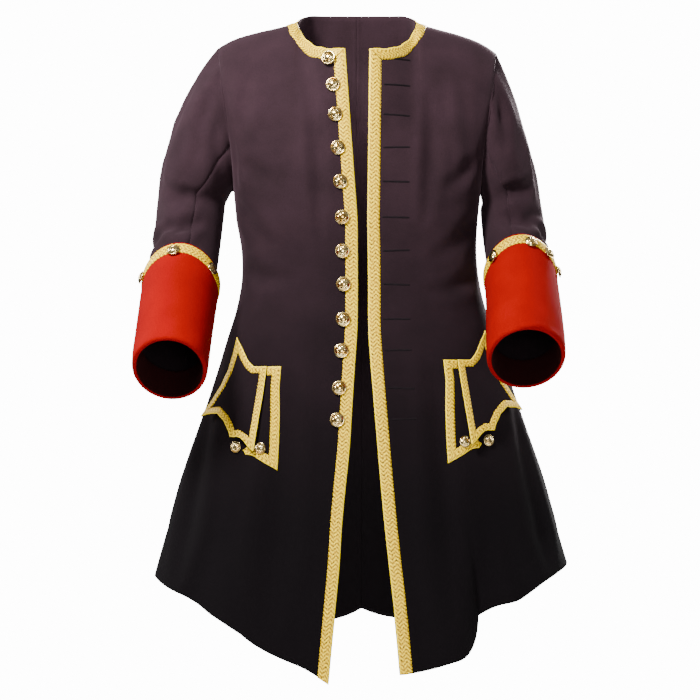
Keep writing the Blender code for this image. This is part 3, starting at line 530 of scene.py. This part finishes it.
def silkTwist(name, look):
    # buttonhole silk, worked in close stitches across the slit
    material, tree, shader = newMaterial(name, {"Roughness": 0.9, "Specular IOR Level": 0.1})
    place = addNode(tree, "UVMap", {"uv_map": "cut"})
    wave = addNode(tree, "TexWave", {"wave_type": "BANDS", "bands_direction": "Y"},
                   {"Scale": 1000 / look["stitchMm"] / (2 * math.pi), "Distortion": 0.6},
                   {"Vector": (place, "UV")})
    ramp = addRamp(tree, wave, "Fac", ((0, look["dark"]), (1, look["light"])))
    tree.links.new(ramp.outputs["Color"], shader.inputs["Base Color"])
    addBump(tree, shader, 0.5, 0.0003, wave, "Fac")
    return material


# the skirt's painted shade colour, and the two heights between which the painted shade fades out
darkWool = woolBroadcloth("aubergineBroadcloth", {
    "dark": "#1f1418", "light": "#2d1e24", "paintedShadeColour": "#0a0709", "shadeFullBelow": -0.84, "shadeGoneAbove": -0.10,
    "roughness": 0.95, "sheen": 0.15, "sheenTint": "#a68492", "specular": 0.06,
    "mottleMm": 70, "fibreMm": 1.3,
})
redWool = woolBroadcloth("redBroadcloth", {
    "dark": "#700000", "light": "#820000", "paintedShadeColour": "#780000", "shadeFullBelow": -1.4, "shadeGoneAbove": -1.2,
    "roughness": 0.9, "sheen": 0.03, "sheenTint": "#ff2010", "specular": 0.05, "mottleMm": 60, "fibreMm": 1.3,
})
# a near-black maroon put on the cuffs' inward faces as painted shade inside the opening
cuffPaintedShade = woolBroadcloth("maroonPaintedShade", {
    "dark": "#1c0203", "light": "#260406", "paintedShadeColour": "#200304", "shadeFullBelow": -1.4, "shadeGoneAbove": -1.2,
    "roughness": 0.9, "sheen": 0.05, "sheenTint": "#7a2018", "specular": 0.1, "mottleMm": 60, "fibreMm": 1.3,
})
laceGold = goldLace("giltThreadLace", {
    "ground": "#352a00", "thread": "#c09400", "bright": "#ffde00",
    "metallic": 0.06, "roughness": 0.5, "specular": 0.2,
    "zigzagMm": 6.3, "ribMm": 6.6, "ribShare": 0.15, "speckleMm": 2.8, "selvedgeMm": 2.0,
})
buttonGilt = giltBrass("paleGiltBrass", {
    "dark": "#a87c2c", "light": "#ead596", "roughness": 0.17, "wearMm": 7,
})
holeSilk = silkTwist("aubergineSilkTwist", {"dark": "#0a0709", "light": "#181115", "stitchMm": 1.4})
print("materials made")


# Body panels and sleeves

cloth = {"wall": 0.0025, "spacing": 0.006, "rim": 0.0009, "seamDip": 0.0007, "seamWidth": 0.0035,
         "seamPuff": 0.0004, "puffAt": 2.2, "puffWidth": 1.1, "seamAllowance": 0.009, "seamGap": 0.0004}
panelLines = {"columns": 16, "neckPoint": 5, "shoulderPoint": 9}
sleeveColumns = {"upper": 15, "under": 11}
bodyCentre = Vector((0, 0, -0.5))

bodyCreases = [
    fold("front", 12, 2.6, [(-82, -85), (-71, -150), (-62, -250), (-60, -370)]),
    fold("front", 13, 2.4, [(-190, -235), (-160, -262), (-112, -280)], 0.2),
    fold("front", 16, 2, [(-196, -300), (-168, -345), (-118, -392)], 0.3),
    fold("front", 14, 2.2, [(-192, -405), (-150, -428), (-90, -430)], 0.25),
    fold("front", 12, 2, [(-172, -85), (-184, -145), (-186, -210)], 0.6),
    fold("front", 24, 3.8, [(-100, -520), (-110, -660), (-128, -860), (-145, -1010)], 0.7),
    fold("front", 20, 3.4, [(-222, -560), (-258, -740), (-292, -930)], 0.75),
    fold("front", 12, -2.2, [(150, -93), (158, -160), (163, -262)]),
    fold("front", 13, 2.5, [(118, -115), (121, -226), (108, -345)]),
    fold("front", 12, 2.6, [(194, -232), (162, -270), (120, -296)], 0.2),
    fold("front", 15, 2, [(196, -330), (160, -372), (112, -402)], 0.3),
    fold("front", 13, 2.2, [(194, -420), (150, -446), (96, -452)], 0.25),
    fold("front", 22, 3.4, [(118, -520), (128, -640), (142, -820), (150, -980)], 0.7),
    fold("front", 18, 4, [(248, -600), (280, -760), (312, -900)], 0.8),
    fold("back", 18, 2.6, [(-150, -60), (-132, -140), (-120, -240)]),
    fold("back", 14, 2.4, [(-186, -250), (-140, -282), (-90, -290)], 0.2),
    fold("back", 15, 2.4, [(-176, -410), (-120, -436), (-50, -428)], 0.4),
    fold("back", 26, 4.4, [(-60, -560), (-82, -760), (-105, -1000)], 0.8),
    fold("back", 20, 3.6, [(-236, -620), (-268, -760), (-296, -910)], 0.8),
    fold("back", 18, 2.4, [(148, -70), (136, -150), (128, -230)]),
    fold("back", 13, 2.6, [(188, -244), (150, -270), (110, -300)], 0.2),
    fold("back", 15, 2.2, [(178, -396), (126, -420), (40, -438)], 0.4),
    fold("back", 24, 4, [(66, -540), (90, -740), (116, -990)], 0.8),
    fold("back", 18, 3.4, [(240, -600), (270, -740), (300, -900)], 0.8),
    fold("front", 16, 1.8, [(-216, -92), (-213, -145), (-208, -180), (-199, -234), (-193, -290)], 0.75),
    fold("front", 16, 1.2, [(198, -88), (206, -128), (208, -150), (200, -205), (190, -284)], 0.75),
    fold("back", 12, 3, [(-212, -100), (-208, -170), (-192, -270)], 0.7),
    fold("back", 12, 3, [(204, -100), (202, -170), (188, -270)], 0.7),
    fold("right", 18, 3.4, [(30, -560), (40, -700), (52, -880)], 0.8),
    fold("left", 20, 3, [(34, -580), (40, -720), (48, -880)], 0.8),
]

sleeveCreases = {
    "right": [
        fold("front", 15, 2.6, [(-234, -120), (-233, -160), (-228, -200), (-220, -250), (-216, -300)], 0.7),
        fold("front", 12, 3.4, [(-330, -262), (-292, -292), (-252, -300)], 0.7),
        fold("front", 11, 4, [(-328, -330), (-290, -346), (-246, -334)], 0.75),
        fold("front", 10, 3, [(-322, -372), (-286, -386), (-248, -376)], 0.6),
        fold("front", 13, 2.6, [(-262, -85), (-292, -150), (-310, -225)], 0.4),
        fold("front", 10, 2.8, [(-240, -120), (-252, -180), (-262, -240)], 0.4),
        fold("back", 14, 3, [(-250, -110), (-276, -180), (-300, -260)]),
        fold("back", 12, 2.6, [(-236, -190), (-256, -260), (-262, -340)], 0.4),
        fold("right", 12, 2.4, [(-10, -130), (-16, -210), (-40, -290)]),
        fold("right", 11, 3, [(-92, -330), (-60, -372), (-20, -388)], 0.4),
    ],
    "left": [
        fold("front", 15, 1.2, [(228, -116), (231, -150), (227, -190), (220, -240), (215, -296)], 0.7),
        fold("front", 11, 3.6, [(306, -250), (268, -284), (228, -286)], 0.7),
        fold("front", 12, 3.8, [(308, -312), (268, -336), (224, -326)], 0.75),
        fold("front", 10, 3, [(304, -362), (264, -378), (226, -366)], 0.6),
        fold("front", 14, 2.6, [(252, -90), (278, -160), (290, -230)], 0.4),
        fold("front", 11, 3.2, [(228, -105), (238, -170), (244, -225)], 0.5),
        fold("back", 13, 3, [(244, -120), (264, -190), (280, -270)]),
        fold("back", 12, 2.8, [(226, -200), (242, -270), (246, -340)], 0.4),
        fold("left", 12, 2.6, [(-6, -140), (-18, -220), (-44, -300)]),
        fold("left", 11, 2.8, [(-94, -322), (-56, -366), (-18, -380)], 0.4),
    ],
}


def seamShift(grid, seams):
    # a shallow dip along each sewn side, with the pressed turnings puffed up beside it
    across = gridLengths(grid, 1)
    distances = {"first": across, "last": across[:, -1:] - across}
    shift = np.zeros(grid.shape[:2])
    for seam in seams:
        away = distances[seam] / cloth["seamWidth"]
        puff = np.exp(-((away - cloth["puffAt"]) / cloth["puffWidth"]) ** 2)
        shift += cloth["seamPuff"] * puff - cloth["seamDip"] * np.exp(-away ** 2)
    return shift


def sleeveGrids(side):
    centre = middleOf("upper_sleeve_" + side, "under_sleeve_" + side)
    fine = {}
    for part, columns in sleeveColumns.items():
        node = part + "_sleeve_" + side
        grid = readGrid(node, centre, columns)
        fine[node] = finer(finer(grid, 0, cloth["spacing"]), 1, cloth["spacing"])
    return fine


def armholeRing():
    points = [point for side in sides for grid in sleeveGrids(side).values() for point in grid[-1]]
    ring = KDTree(len(points))
    for index, point in enumerate(points):
        ring.insert(Vector(point), index)
    ring.balance()
    return ring


def armholeFade(grid, ring):
    # creases die away at the armhole, where two cloths are sewn together
    away = [ring.find(Vector(point))[2] for point in grid.reshape(-1, 3)]
    share = np.clip(np.array(away).reshape(grid.shape[:2]) / creaseShape["armholeReach"], 0, 1)
    return share * share * (3 - 2 * share)


def clothPiece(node, grid, lines, seams, ring):
    shift = creaseShift(grid, lines) * armholeFade(grid, ring) + seamShift(grid, seams)
    outer = grid + gridNormals(grid) * shift[..., None]
    wall = wallMesh(outer, outer - gridNormals(outer) * cloth["wall"], rimOut=cloth["rim"])
    return addPiece("cloth_" + node, wall, darkWool, [node]), outer


def panelGrid(face, side):
    # a panel's fine grid, and which of its sides are sewn
    grid = readGrid(face + "_" + side, bodyCentre, panelLines["columns"])
    corners = [panelLines["neckPoint"], panelLines["shoulderPoint"]]
    centreFirst = abs(grid[0, 0, 0]) < abs(grid[0, -1, 0])
    if not centreFirst:
        corners = [panelLines["columns"] - 1 - corner for corner in reversed(corners)]
    grid = finer(finer(grid, 0, cloth["spacing"]), 1, cloth["spacing"], corners)
    if face == "back":
        return grid, ["first", "last"]
    return grid, ["last" if centreFirst else "first"]


def makeBody(ring):
    # four panels cut like the real ones, from hem to neckline and shoulder
    panels = {face + "_" + side: panelGrid(face, side) for side in sides for face in ("front", "back")}
    tree = surfaceTree([grid for grid, _ in panels.values()])
    lines = [(crease, creaseLine(tree, crease)) for crease in bodyCreases]
    dressed = []
    for node, (grid, seams) in panels.items():
        piece, outer = clothPiece(node, grid, lines, seams, ring)
        dressed.append(outer)
    print("body panels made")
    return surfaceTree(dressed)


def makeSleeves(ring, bodyTree):
    under = cloth["wall"] + cloth["seamGap"]
    for side, sign in sides.items():
        fine = sleeveGrids(side)
        tree = surfaceTree(fine.values())
        lines = [(crease, creaseLine(tree, crease)) for crease in sleeveCreases[side]]
        for node, grid in fine.items():
            # the seam allowance is pressed against the inside of the body panels
            reached = grid[-1] - (sign * cloth["seamAllowance"], 0, 0)
            found = [bodyTree.find_nearest(Vector(point)) for point in reached]
            allowance = [(place - normal * under)[:] for place, normal, _, _ in found]
            grid = np.concatenate((grid, [allowance]))
            piece, _ = clothPiece(node, grid, lines, ("first", "last"), ring)
    print("sleeves made")


# Cuffs: the turned-back red cloth, rounded over its fold

cuffLook = {"levels": 2, "flat": (0.42, 0.27), "shadeFacing": 0.25}
cuffCreases = {
    "right": [
        fold("front", 18, 0.9, [(-334, -500), (-326, -570), (-324, -630)]),
        fold("front", 16, 0.9, [(-256, -500), (-262, -560), (-258, -620)]),
        fold("front", 20, -1.6, [(-296, -520), (-292, -580), (-294, -622)]),
    ],
    "left": [
        fold("front", 18, 0.9, [(300, -480), (306, -550), (310, -610)]),
        fold("front", 16, 0.9, [(228, -500), (226, -560), (232, -616)]),
        fold("front", 20, -1.6, [(266, -500), (268, -560), (268, -604)]),
    ],
}


def roundedCuff(node):
    # the solid's faces joined into quads and rounded
    work = mergedCopy(node)
    bmesh.ops.join_triangles(work, faces=work.faces, angle_face_threshold=math.pi,
                             angle_shape_threshold=math.pi, topology_influence=1.0)
    mesh = bpy.data.meshes.new("cloth_" + node)
    work.to_mesh(mesh)
    work.free()
    piece = bpy.data.objects.new("cloth_" + node, mesh)
    bpy.context.scene.collection.objects.link(piece)
    rounding = piece.modifiers.new("rounding", "SUBSURF")
    rounding.levels = rounding.render_levels = cuffLook["levels"]
    bpy.ops.object.select_all(action="DESELECT")
    bpy.context.view_layer.objects.active = piece
    piece.select_set(True)
    bpy.ops.object.modifier_apply(modifier="rounding")
    piece.select_set(False)
    return piece


def creaseCuff(piece, creases):
    # moves the cuff's points, and gives its middle and its new surface
    faces = [tuple(face.vertices) for face in piece.data.polygons]
    places = np.zeros(len(piece.data.vertices) * 3)
    piece.data.vertices.foreach_get("co", places)
    places = places.reshape(-1, 3)
    tree = BVHTree.FromPolygons([Vector(place) for place in places], faces)
    lines = [(crease, creaseLine(tree, crease)) for crease in creases]
    middle = places.mean(axis=0)
    away = (places - middle) * (1, 1, 0)
    outwards = away / np.maximum(np.linalg.norm(away, axis=1, keepdims=True), 1e-9)
    places += outwards * creaseShift(places, lines)[:, None]
    piece.data.vertices.foreach_set("co", places.ravel())
    piece.data.update()
    return Vector(middle), BVHTree.FromPolygons([Vector(place) for place in places], faces)


def makeCuffs():
    trees = {}
    for side in sides:
        node = "cuff_" + side
        piece = roundedCuff(node)
        middle, trees[side] = creaseCuff(piece, cuffCreases[side])
        piece.data.polygons.foreach_set("use_smooth", [True] * len(piece.data.polygons))
        piece.data.materials.clear()
        piece.data.materials.append(redWool)
        piece.data.materials.append(cuffPaintedShade)
        # faces turned towards the cuff's middle take the near-black maroon, painted shade inside the cuff
        for face in piece.data.polygons:
            inwards = (middle - face.center).normalized()
            face.material_index = int(face.normal.dot(inwards) > cuffLook["shadeFacing"])
        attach(piece, "root")
        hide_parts(node)
    print("cuffs made")
    return trees


# Lace and flaps, laid on the dressed cloth

lace = {"along": 0.0011, "across": 0.0026, "sunk": 0.0003, "thick": 0.0013, "edgeShare": 0.55,
        "picot": 0.0009, "picotEvery": 0.0046, "corner": 0.5, "follow": 0.014, "cuffMoved": (0.0025, 0.0045)}
neckLook = {"centre": Vector((0, 0, -0.25)), "columns": 4}


def edgeCorners(grid):
    # rows where the plain edge turns sharply
    steps = np.diff(grid[:, 0], axis=0)
    steps /= np.linalg.norm(steps, axis=1, keepdims=True)
    turns = (steps[:-1] * steps[1:]).sum(axis=1)
    return [index + 1 for index, turn in enumerate(turns) if turn < math.cos(lace["corner"])]


def seated(points, normals, tree):
    # the lace keeps its outline and moves along its normals onto the cloth
    found = [tree.find_nearest(Vector(point))[0][:] for point in points.reshape(-1, 3)]
    rise = ((np.array(found).reshape(points.shape) - points) * normals).sum(axis=-1, keepdims=True)
    return points + normals * np.clip(rise, -lace["follow"], lace["follow"])


def laceGrid(node, centre, columns, closed, plainEdge, moved, topReach):
    # the lace's own outline, its plain edge first, its far edge scalloped
    grid = readGrid(node, centre, None if closed else columns)
    if not plainEdge(grid[:, 0], grid[:, -1]):
        grid = grid[::-1, ::-1]
    across = grid[:, -1] - grid[:, 0]
    across /= np.linalg.norm(across, axis=1, keepdims=True)
    grid[:, 0] += across * moved[0]
    grid[:, -1] += across * moved[1]
    if topReach:
        top, beside = (0, 1) if grid[0, :, 2].mean() > grid[-1, :, 2].mean() else (-1, -2)
        onwards = (grid[top] - grid[beside]).mean(axis=0)
        grid[top] += onwards / np.linalg.norm(onwards) * topReach
    joined = closed
    if closed:
        corners = edgeCorners(np.concatenate((grid, grid[:2])))
        if corners:
            grid = np.roll(grid, -(corners[0] % len(grid)), axis=0)
            grid = np.concatenate((grid, grid[:1]))
            joined = False
    corners = [] if joined else edgeCorners(grid)
    grid = finer(grid, 0, lace["along"], corners, closed=joined)
    if closed and not joined:
        grid = grid[:-1]
    grid = finer(grid, 1, lace["across"])
    length = gridLengths(grid, 0)[:, -1]
    picots = lace["picot"] * np.abs(np.sin(math.pi * length / lace["picotEvery"]))
    reach = grid[:, -1] - grid[:, -2]
    reach /= np.linalg.norm(reach, axis=1, keepdims=True)
    grid[:, -1] += reach * picots[:, None]
    return grid


def layLace(name, node, tree, centre, columns, closed, plainEdge, moved=(0, 0), topReach=0):
    grid = laceGrid(node, centre, columns, closed, plainEdge, moved, topReach)
    normals = gridNormals(grid, closed)
    lying = seated(grid, normals, tree)
    share = np.linspace(0, 1, grid.shape[1])
    rise = lace["edgeShare"] + (1 - lace["edgeShare"]) * np.sin(math.pi * share) ** 0.5
    outer = lying + normals * (lace["thick"] * rise)[None, :, None]
    wall = wallMesh(outer, lying - normals * lace["sunk"], closed)
    piece = addPiece(name, wall, laceGold, [node])


def innerFirst(first, last):
    return np.abs(first[:, 0]).sum() < np.abs(last[:, 0]).sum()


def higherFirst(first, last):
    return first[:, 2].mean() > last[:, 2].mean()


def longerFirst(first, last):
    return gridLengths(first[:, None], 0)[-1] > gridLengths(last[:, None], 0)[-1]


def shorterFirst(first, last):
    return gridLengths(first[:, None], 0)[-1] < gridLengths(last[:, None], 0)[-1]


def makeFrontLaces(tree):
    for side in sides:
        layLace("lace_front_" + side, "front_lace_" + side, tree, bodyCentre, 2, False, innerFirst)
    layLace("lace_neck", "neck_lace", tree, neckLook["centre"], neckLook["columns"], False, shorterFirst)
    print("front and neck lace made")


def makeCuffLaces(trees):
    for side in sides:
        layLace("lace_cuff_" + side, "cuff_lace_" + side, trees[side], middleOf("cuff_" + side), 2, True,
                higherFirst,
                moved=lace["cuffMoved"])
    print("cuff lace made")


pocket = {"flapColumns": 10, "wall": 0.0025, "spacing": 0.004, "topReach": 0.0028}


def makePockets(tree):
    for side in sides:
        layLace("lace_pocket_" + side, "pocket_lace_" + side, tree, bodyCentre, 2, False, longerFirst,
                topReach=pocket["topReach"])
        node = "pocket_flap_" + side
        grid = readGrid(node, bodyCentre, pocket["flapColumns"])
        grid = finer(finer(grid, 0, pocket["spacing"]), 1, pocket["spacing"])
        wall = wallMesh(grid, grid - gridNormals(grid) * pocket["wall"], rimOut=cloth["rim"])
        flap = addPiece("cloth_" + node, wall, darkWool, [node])
        layLace("lace_flap_" + side, "flap_lace_" + side, surfaceTree([grid]), bodyCentre, 2, True,
                longerFirst)
    print("pockets made")


# Buttons: a domed shell with a rolled rim, a ring and a boss inside a wreath of small lobes

button = {"radius": 0.012, "segments": 40, "turned": 0.93, "seat": 0.165, "disc": 0.0010, "lobes": 10,
          "lobeRise": 0.0006, "lobesFrom": 0.42, "lobesWide": 0.40, "lobesAbove": 0.25,
          "shank": 0.0028, "shankSegments": 16, "lift": 0.0002, "softened": 0.00018,
          "cuffDrop": 0.005, "onLace": 0.0006, "letDown": (-0.008, 0.004)}
# each row: how far a new ring lies inside the last, and how far it rises
buttonRings = (
    (-0.0006, 0.0004), (0.0005, 0.0007), (0.0009, 0.0002), (0.0006, -0.0005), (0.0009, 0.0012),
    (0.0015, 0.0011), (0.0017, 0.0008), (0.0005, -0.00035), (0.0005, 0.00055), (0.0018, 0.0006),
    (0.0016, 0.00025),
)


def pickTopFace(mesh):
    work = bmesh.from_edit_mesh(mesh)
    for face in work.faces:
        face.select_set(False)
    top = max(work.faces, key=lambda face: (len(face.verts), face.calc_center_median().z))
    top.select_set(True)
    bmesh.update_edit_mesh(mesh)


def buttonMaster():
    size = button["radius"] * button["turned"]
    seat = button["radius"] * button["seat"]
    bpy.ops.object.select_all(action="DESELECT")
    bpy.ops.mesh.primitive_cylinder_add(vertices=button["segments"], radius=size, depth=button["disc"],
                                        location=(0, 0, seat + button["disc"] / 2), end_fill_type="NGON")
    master = bpy.context.object
    bpy.ops.object.transform_apply(location=True)
    bpy.ops.object.mode_set(mode="EDIT")
    for inset, rise in buttonRings:
        pickTopFace(master.data)
        bpy.ops.mesh.extrude_region_move()
        bpy.ops.transform.translate(value=(0, 0, rise))
        share = (size - inset) / size
        bpy.ops.transform.resize(value=(share, share, 1), center_override=(0, 0, 0))
        size -= inset
    bpy.ops.object.mode_set(mode="OBJECT")
    raiseLobes(master)
    height = seat + button["lift"]
    bpy.ops.mesh.primitive_cylinder_add(vertices=button["shankSegments"], radius=button["shank"],
                                        depth=height, location=(0, 0, height / 2))
    bpy.ops.object.transform_apply(location=True)
    master.select_set(True)
    bpy.context.view_layer.objects.active = master
    bpy.ops.object.join()
    softening = master.modifiers.new("softening", "BEVEL")
    softening.width = button["softened"]
    softening.segments = 2
    bpy.ops.object.modifier_apply(modifier="softening")
    master.data.polygons.foreach_set("use_smooth", [True] * len(master.data.polygons))
    return master


def raiseLobes(master):
    # the wreath, worked into the ring between rim and boss
    start, wide = button["lobesFrom"], button["lobesWide"]
    for vert in master.data.vertices:
        span = vert.co.xy.length / button["radius"]
        if start < span < start + wide and vert.co.z > button["radius"] * button["lobesAbove"]:
            wave = math.cos(button["lobes"] * math.atan2(vert.co.y, vert.co.x))
            vert.co.z += button["lobeRise"] * wave * math.sin(math.pi * (span - start) / wide)


def buttonPlace(node, cuffTrees):
    # where a button sits, from its solid: its seat, the way it faces and its radius
    work = mergedCopy(node)
    places = np.array([vert.co[:] for vert in work.verts])
    work.free()
    middle = places.mean(axis=0)
    _, axes = np.linalg.eigh(np.cov((places - middle).T))
    axis = axes[:, 0]
    onCuff = node.startswith("cuff")
    if onCuff:
        side = node.split("_")[2]
        inside = np.array(middleOf("cuff_" + side))
        inside += (middle - inside) * (0, 0.5, 0.5)
    else:
        inside = np.array((0.0, 0.0, middle[2]))
    if axis @ (middle - inside) < 0:
        axis = -axis
    heights = (places - middle) @ axis
    seat = middle + axis * heights.min()
    if onCuff:
        # a little down the cuff, as the lace is, and let down onto its cloth
        downwards = np.array((0.0, 0.0, -1.0))
        downwards -= axis * (downwards @ axis)
        seat += downwards / np.linalg.norm(downwards) * button["cuffDrop"]
        under = np.array(cuffTrees[side].find_nearest(Vector(seat))[0])
        seat += axis * (np.clip((under - seat) @ axis, *button["letDown"]) + button["onLace"])
    size = np.linalg.norm(places - middle - heights[:, None] * axis, axis=1).max()
    return Vector(seat), Vector(axis), size


def makeButtons(cuffTrees):
    master = buttonMaster()
    for node in sorted(name for name in nodes if "button" in name):
        seat, axis, size = buttonPlace(node, cuffTrees)
        turn = axis.to_track_quat("Z", "Y").to_matrix().to_4x4()
        mesh = master.data.copy()
        mesh.transform(Matrix.Translation(seat) @ turn @ Matrix.Scale(size / button["radius"], 4))
        mesh.materials.clear()
        mesh.materials.append(buttonGilt)
        piece = bpy.data.objects.new("gilt_" + node, mesh)
        bpy.context.scene.collection.objects.link(piece)
        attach(piece, "root")
        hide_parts(node)
    bpy.data.objects.remove(master)
    print("buttons made")


# Buttonholes on the wearer's left front, one level with each button

buttonhole = {"length": 0.044, "slope": 0.0016, "slopeTurn": 2.3, "slopeStart": 0.6, "width": 0.0028,
              "high": 0.0006, "endHigh": 0.3, "fromLace": 0.004, "steps": 34}
# each row: how far up the hole a line of stitches lies, and how high it stands, as shares
stitchRows = ((0.5, 0.1), (0.33, 0.75), (0.17, 1.0), (0.05, 0.45), (0, 0.1),
              (-0.05, 0.45), (-0.17, 1.0), (-0.33, 0.75), (-0.5, 0.1))


def holeGrid(tree, startX, height, slope):
    # the hole's flat form, laid on the cloth, with rounded ends
    rows = []
    for step in range(buttonhole["steps"] + 1):
        share = step / buttonhole["steps"]
        x = startX + buttonhole["length"] * share
        rounded = min(1.0, math.sqrt(max(0.0, 1 - (2 * share - 1) ** 10)) + 0.05)
        heights = [height + slope * share + up * buttonhole["width"] * rounded for up, _ in stitchRows]
        rows.append([tree.ray_cast(Vector((x, -2, z)), Vector((0, 1, 0)))[0][:] for z in heights])
    return np.array(rows)


def makeButtonholes(tree):
    farEdge = readGrid("front_lace_left", bodyCentre, 2)[:, 1]
    order = np.argsort(farEdge[:, 2])
    humps = np.array([high for _, high in stitchRows]) * buttonhole["high"]
    for number, node in enumerate(sorted(name for name in nodes if name.startswith("front_button"))):
        slope = buttonhole["slope"] * math.sin(buttonhole["slopeTurn"] * number + buttonhole["slopeStart"])
        low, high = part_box(node)
        height = (low.z + high.z) / 2
        laceEdge = float(np.interp(height, farEdge[order, 2], farEdge[order, 0]))
        grid = holeGrid(tree, laceEdge + buttonhole["fromLace"], height, slope)
        normals = gridNormals(grid)
        ends = np.ones(len(grid))
        ends[0] = ends[-1] = buttonhole["endHigh"]
        outer = grid + normals * (humps[None, :, None] * ends[:, None, None])
        verts, faces, uvs = wallMesh(outer, grid - normals * lace["sunk"])
        addPiece("silk_" + node.replace("button", "buttonhole"), (verts, faces, uvs[:, ::-1]), holeSilk,
                 [])
    print("buttonholes made")


# Light and floor

studio = {"floorHeight": -1.62, "floorRadius": 1.7, "floorColour": "#e9e7e3", "backdrop": 14.0,
          "skyFrom": -0.4, "skyUpTo": 0.8, "skyLow": 0.07, "skyHigh": 0.42}
lights = [
    {"name": "key", "place": (-0.80, -1.15, 0.75), "aim": (0.02, -0.05, -0.22), "size": 0.40, "power": 104},
    {"name": "cuffFill", "place": (0.3, -2.6, -0.5), "aim": (0.0, 0.0, -0.5), "size": 1.0, "power": 34},
    {"name": "rightSide", "place": (-2.2, 0.7, 0.3), "aim": (0.0, 0.0, -0.5), "size": 0.8, "power": 52},
    {"name": "leftSide", "place": (2.2, 0.7, 0.3), "aim": (0.0, 0.0, -0.5), "size": 0.8, "power": 46},
    {"name": "behind", "place": (0.9, 1.7, 0.7), "aim": (0.0, 0.0, -0.4), "size": 0.6, "power": 190},
    {"name": "insideBack", "place": (0, -0.075, -0.14), "aim": (0, 0.1, -0.24), "size": 0.08, "power": 0.6},
    {"name": "insideSkirt", "place": (0, -0.06, -0.72), "aim": (0, 0.12, -0.80), "size": 0.08, "power": 0.5},
]


def makeStudio():
    for light in lights:
        data = bpy.data.lights.new(light["name"], "AREA")
        data.size = light["size"]
        data.energy = light["power"]
        lamp = bpy.data.objects.new(light["name"], data)
        lamp.location = light["place"]
        lamp.visible_camera = False
        direction = Vector(light["aim"]) - Vector(light["place"])
        lamp.rotation_euler = direction.to_track_quat("-Z", "Y").to_euler()
        bpy.context.scene.collection.objects.link(lamp)
    bpy.ops.object.select_all(action="DESELECT")
    bpy.ops.mesh.primitive_circle_add(vertices=96, radius=studio["floorRadius"], fill_type="NGON",
                                      location=(0, 0, studio["floorHeight"]))
    floor = bpy.context.object
    floor.name = "floor"
    paint, _, shader = newMaterial("paleFloorPaint", {"Roughness": 0.9})
    shader.inputs["Base Color"].default_value = (*srgb(studio["floorColour"]), 1)
    floor.data.materials.append(paint)
    makeSky()


def makeSky():
    # soft light from a sky that is paler above, and a plain bright backdrop for the camera
    world = bpy.data.worlds.new("studioWorld")
    bpy.context.scene.world = world
    world.use_nodes = True
    tree = world.node_tree
    ray = addNode(tree, "LightPath")
    place = addNode(tree, "TexCoord")
    height = addNode(tree, "SeparateXYZ", links={"Vector": (place, "Generated")})
    sky = addNode(tree, "MapRange", links={"Value": (height, "Z")}, values={
        "From Min": studio["skyFrom"], "From Max": studio["skyUpTo"],
        "To Min": studio["skyLow"], "To Max": studio["skyHigh"],
    })
    shade = addNode(tree, "Mix", {"data_type": "FLOAT"}, links={0: (ray, "Is Camera Ray")})
    tree.links.new(sky.outputs["Result"], shade.inputs["A"])
    shade.inputs["B"].default_value = studio["backdrop"]
    tree.links.new(shade.outputs["Result"], tree.nodes["Background"].inputs["Strength"])
    tree.nodes["Background"].inputs["Color"].default_value = (1, 1, 1, 1)


makeCamera()
armholes = armholeRing()
bodyTree = makeBody(armholes)
makeSleeves(armholes, bodyTree)
cuffTrees = makeCuffs()
makeFrontLaces(bodyTree)
makeCuffLaces(cuffTrees)
makePockets(bodyTree)
makeButtonholes(bodyTree)
makeButtons(cuffTrees)
makeStudio()
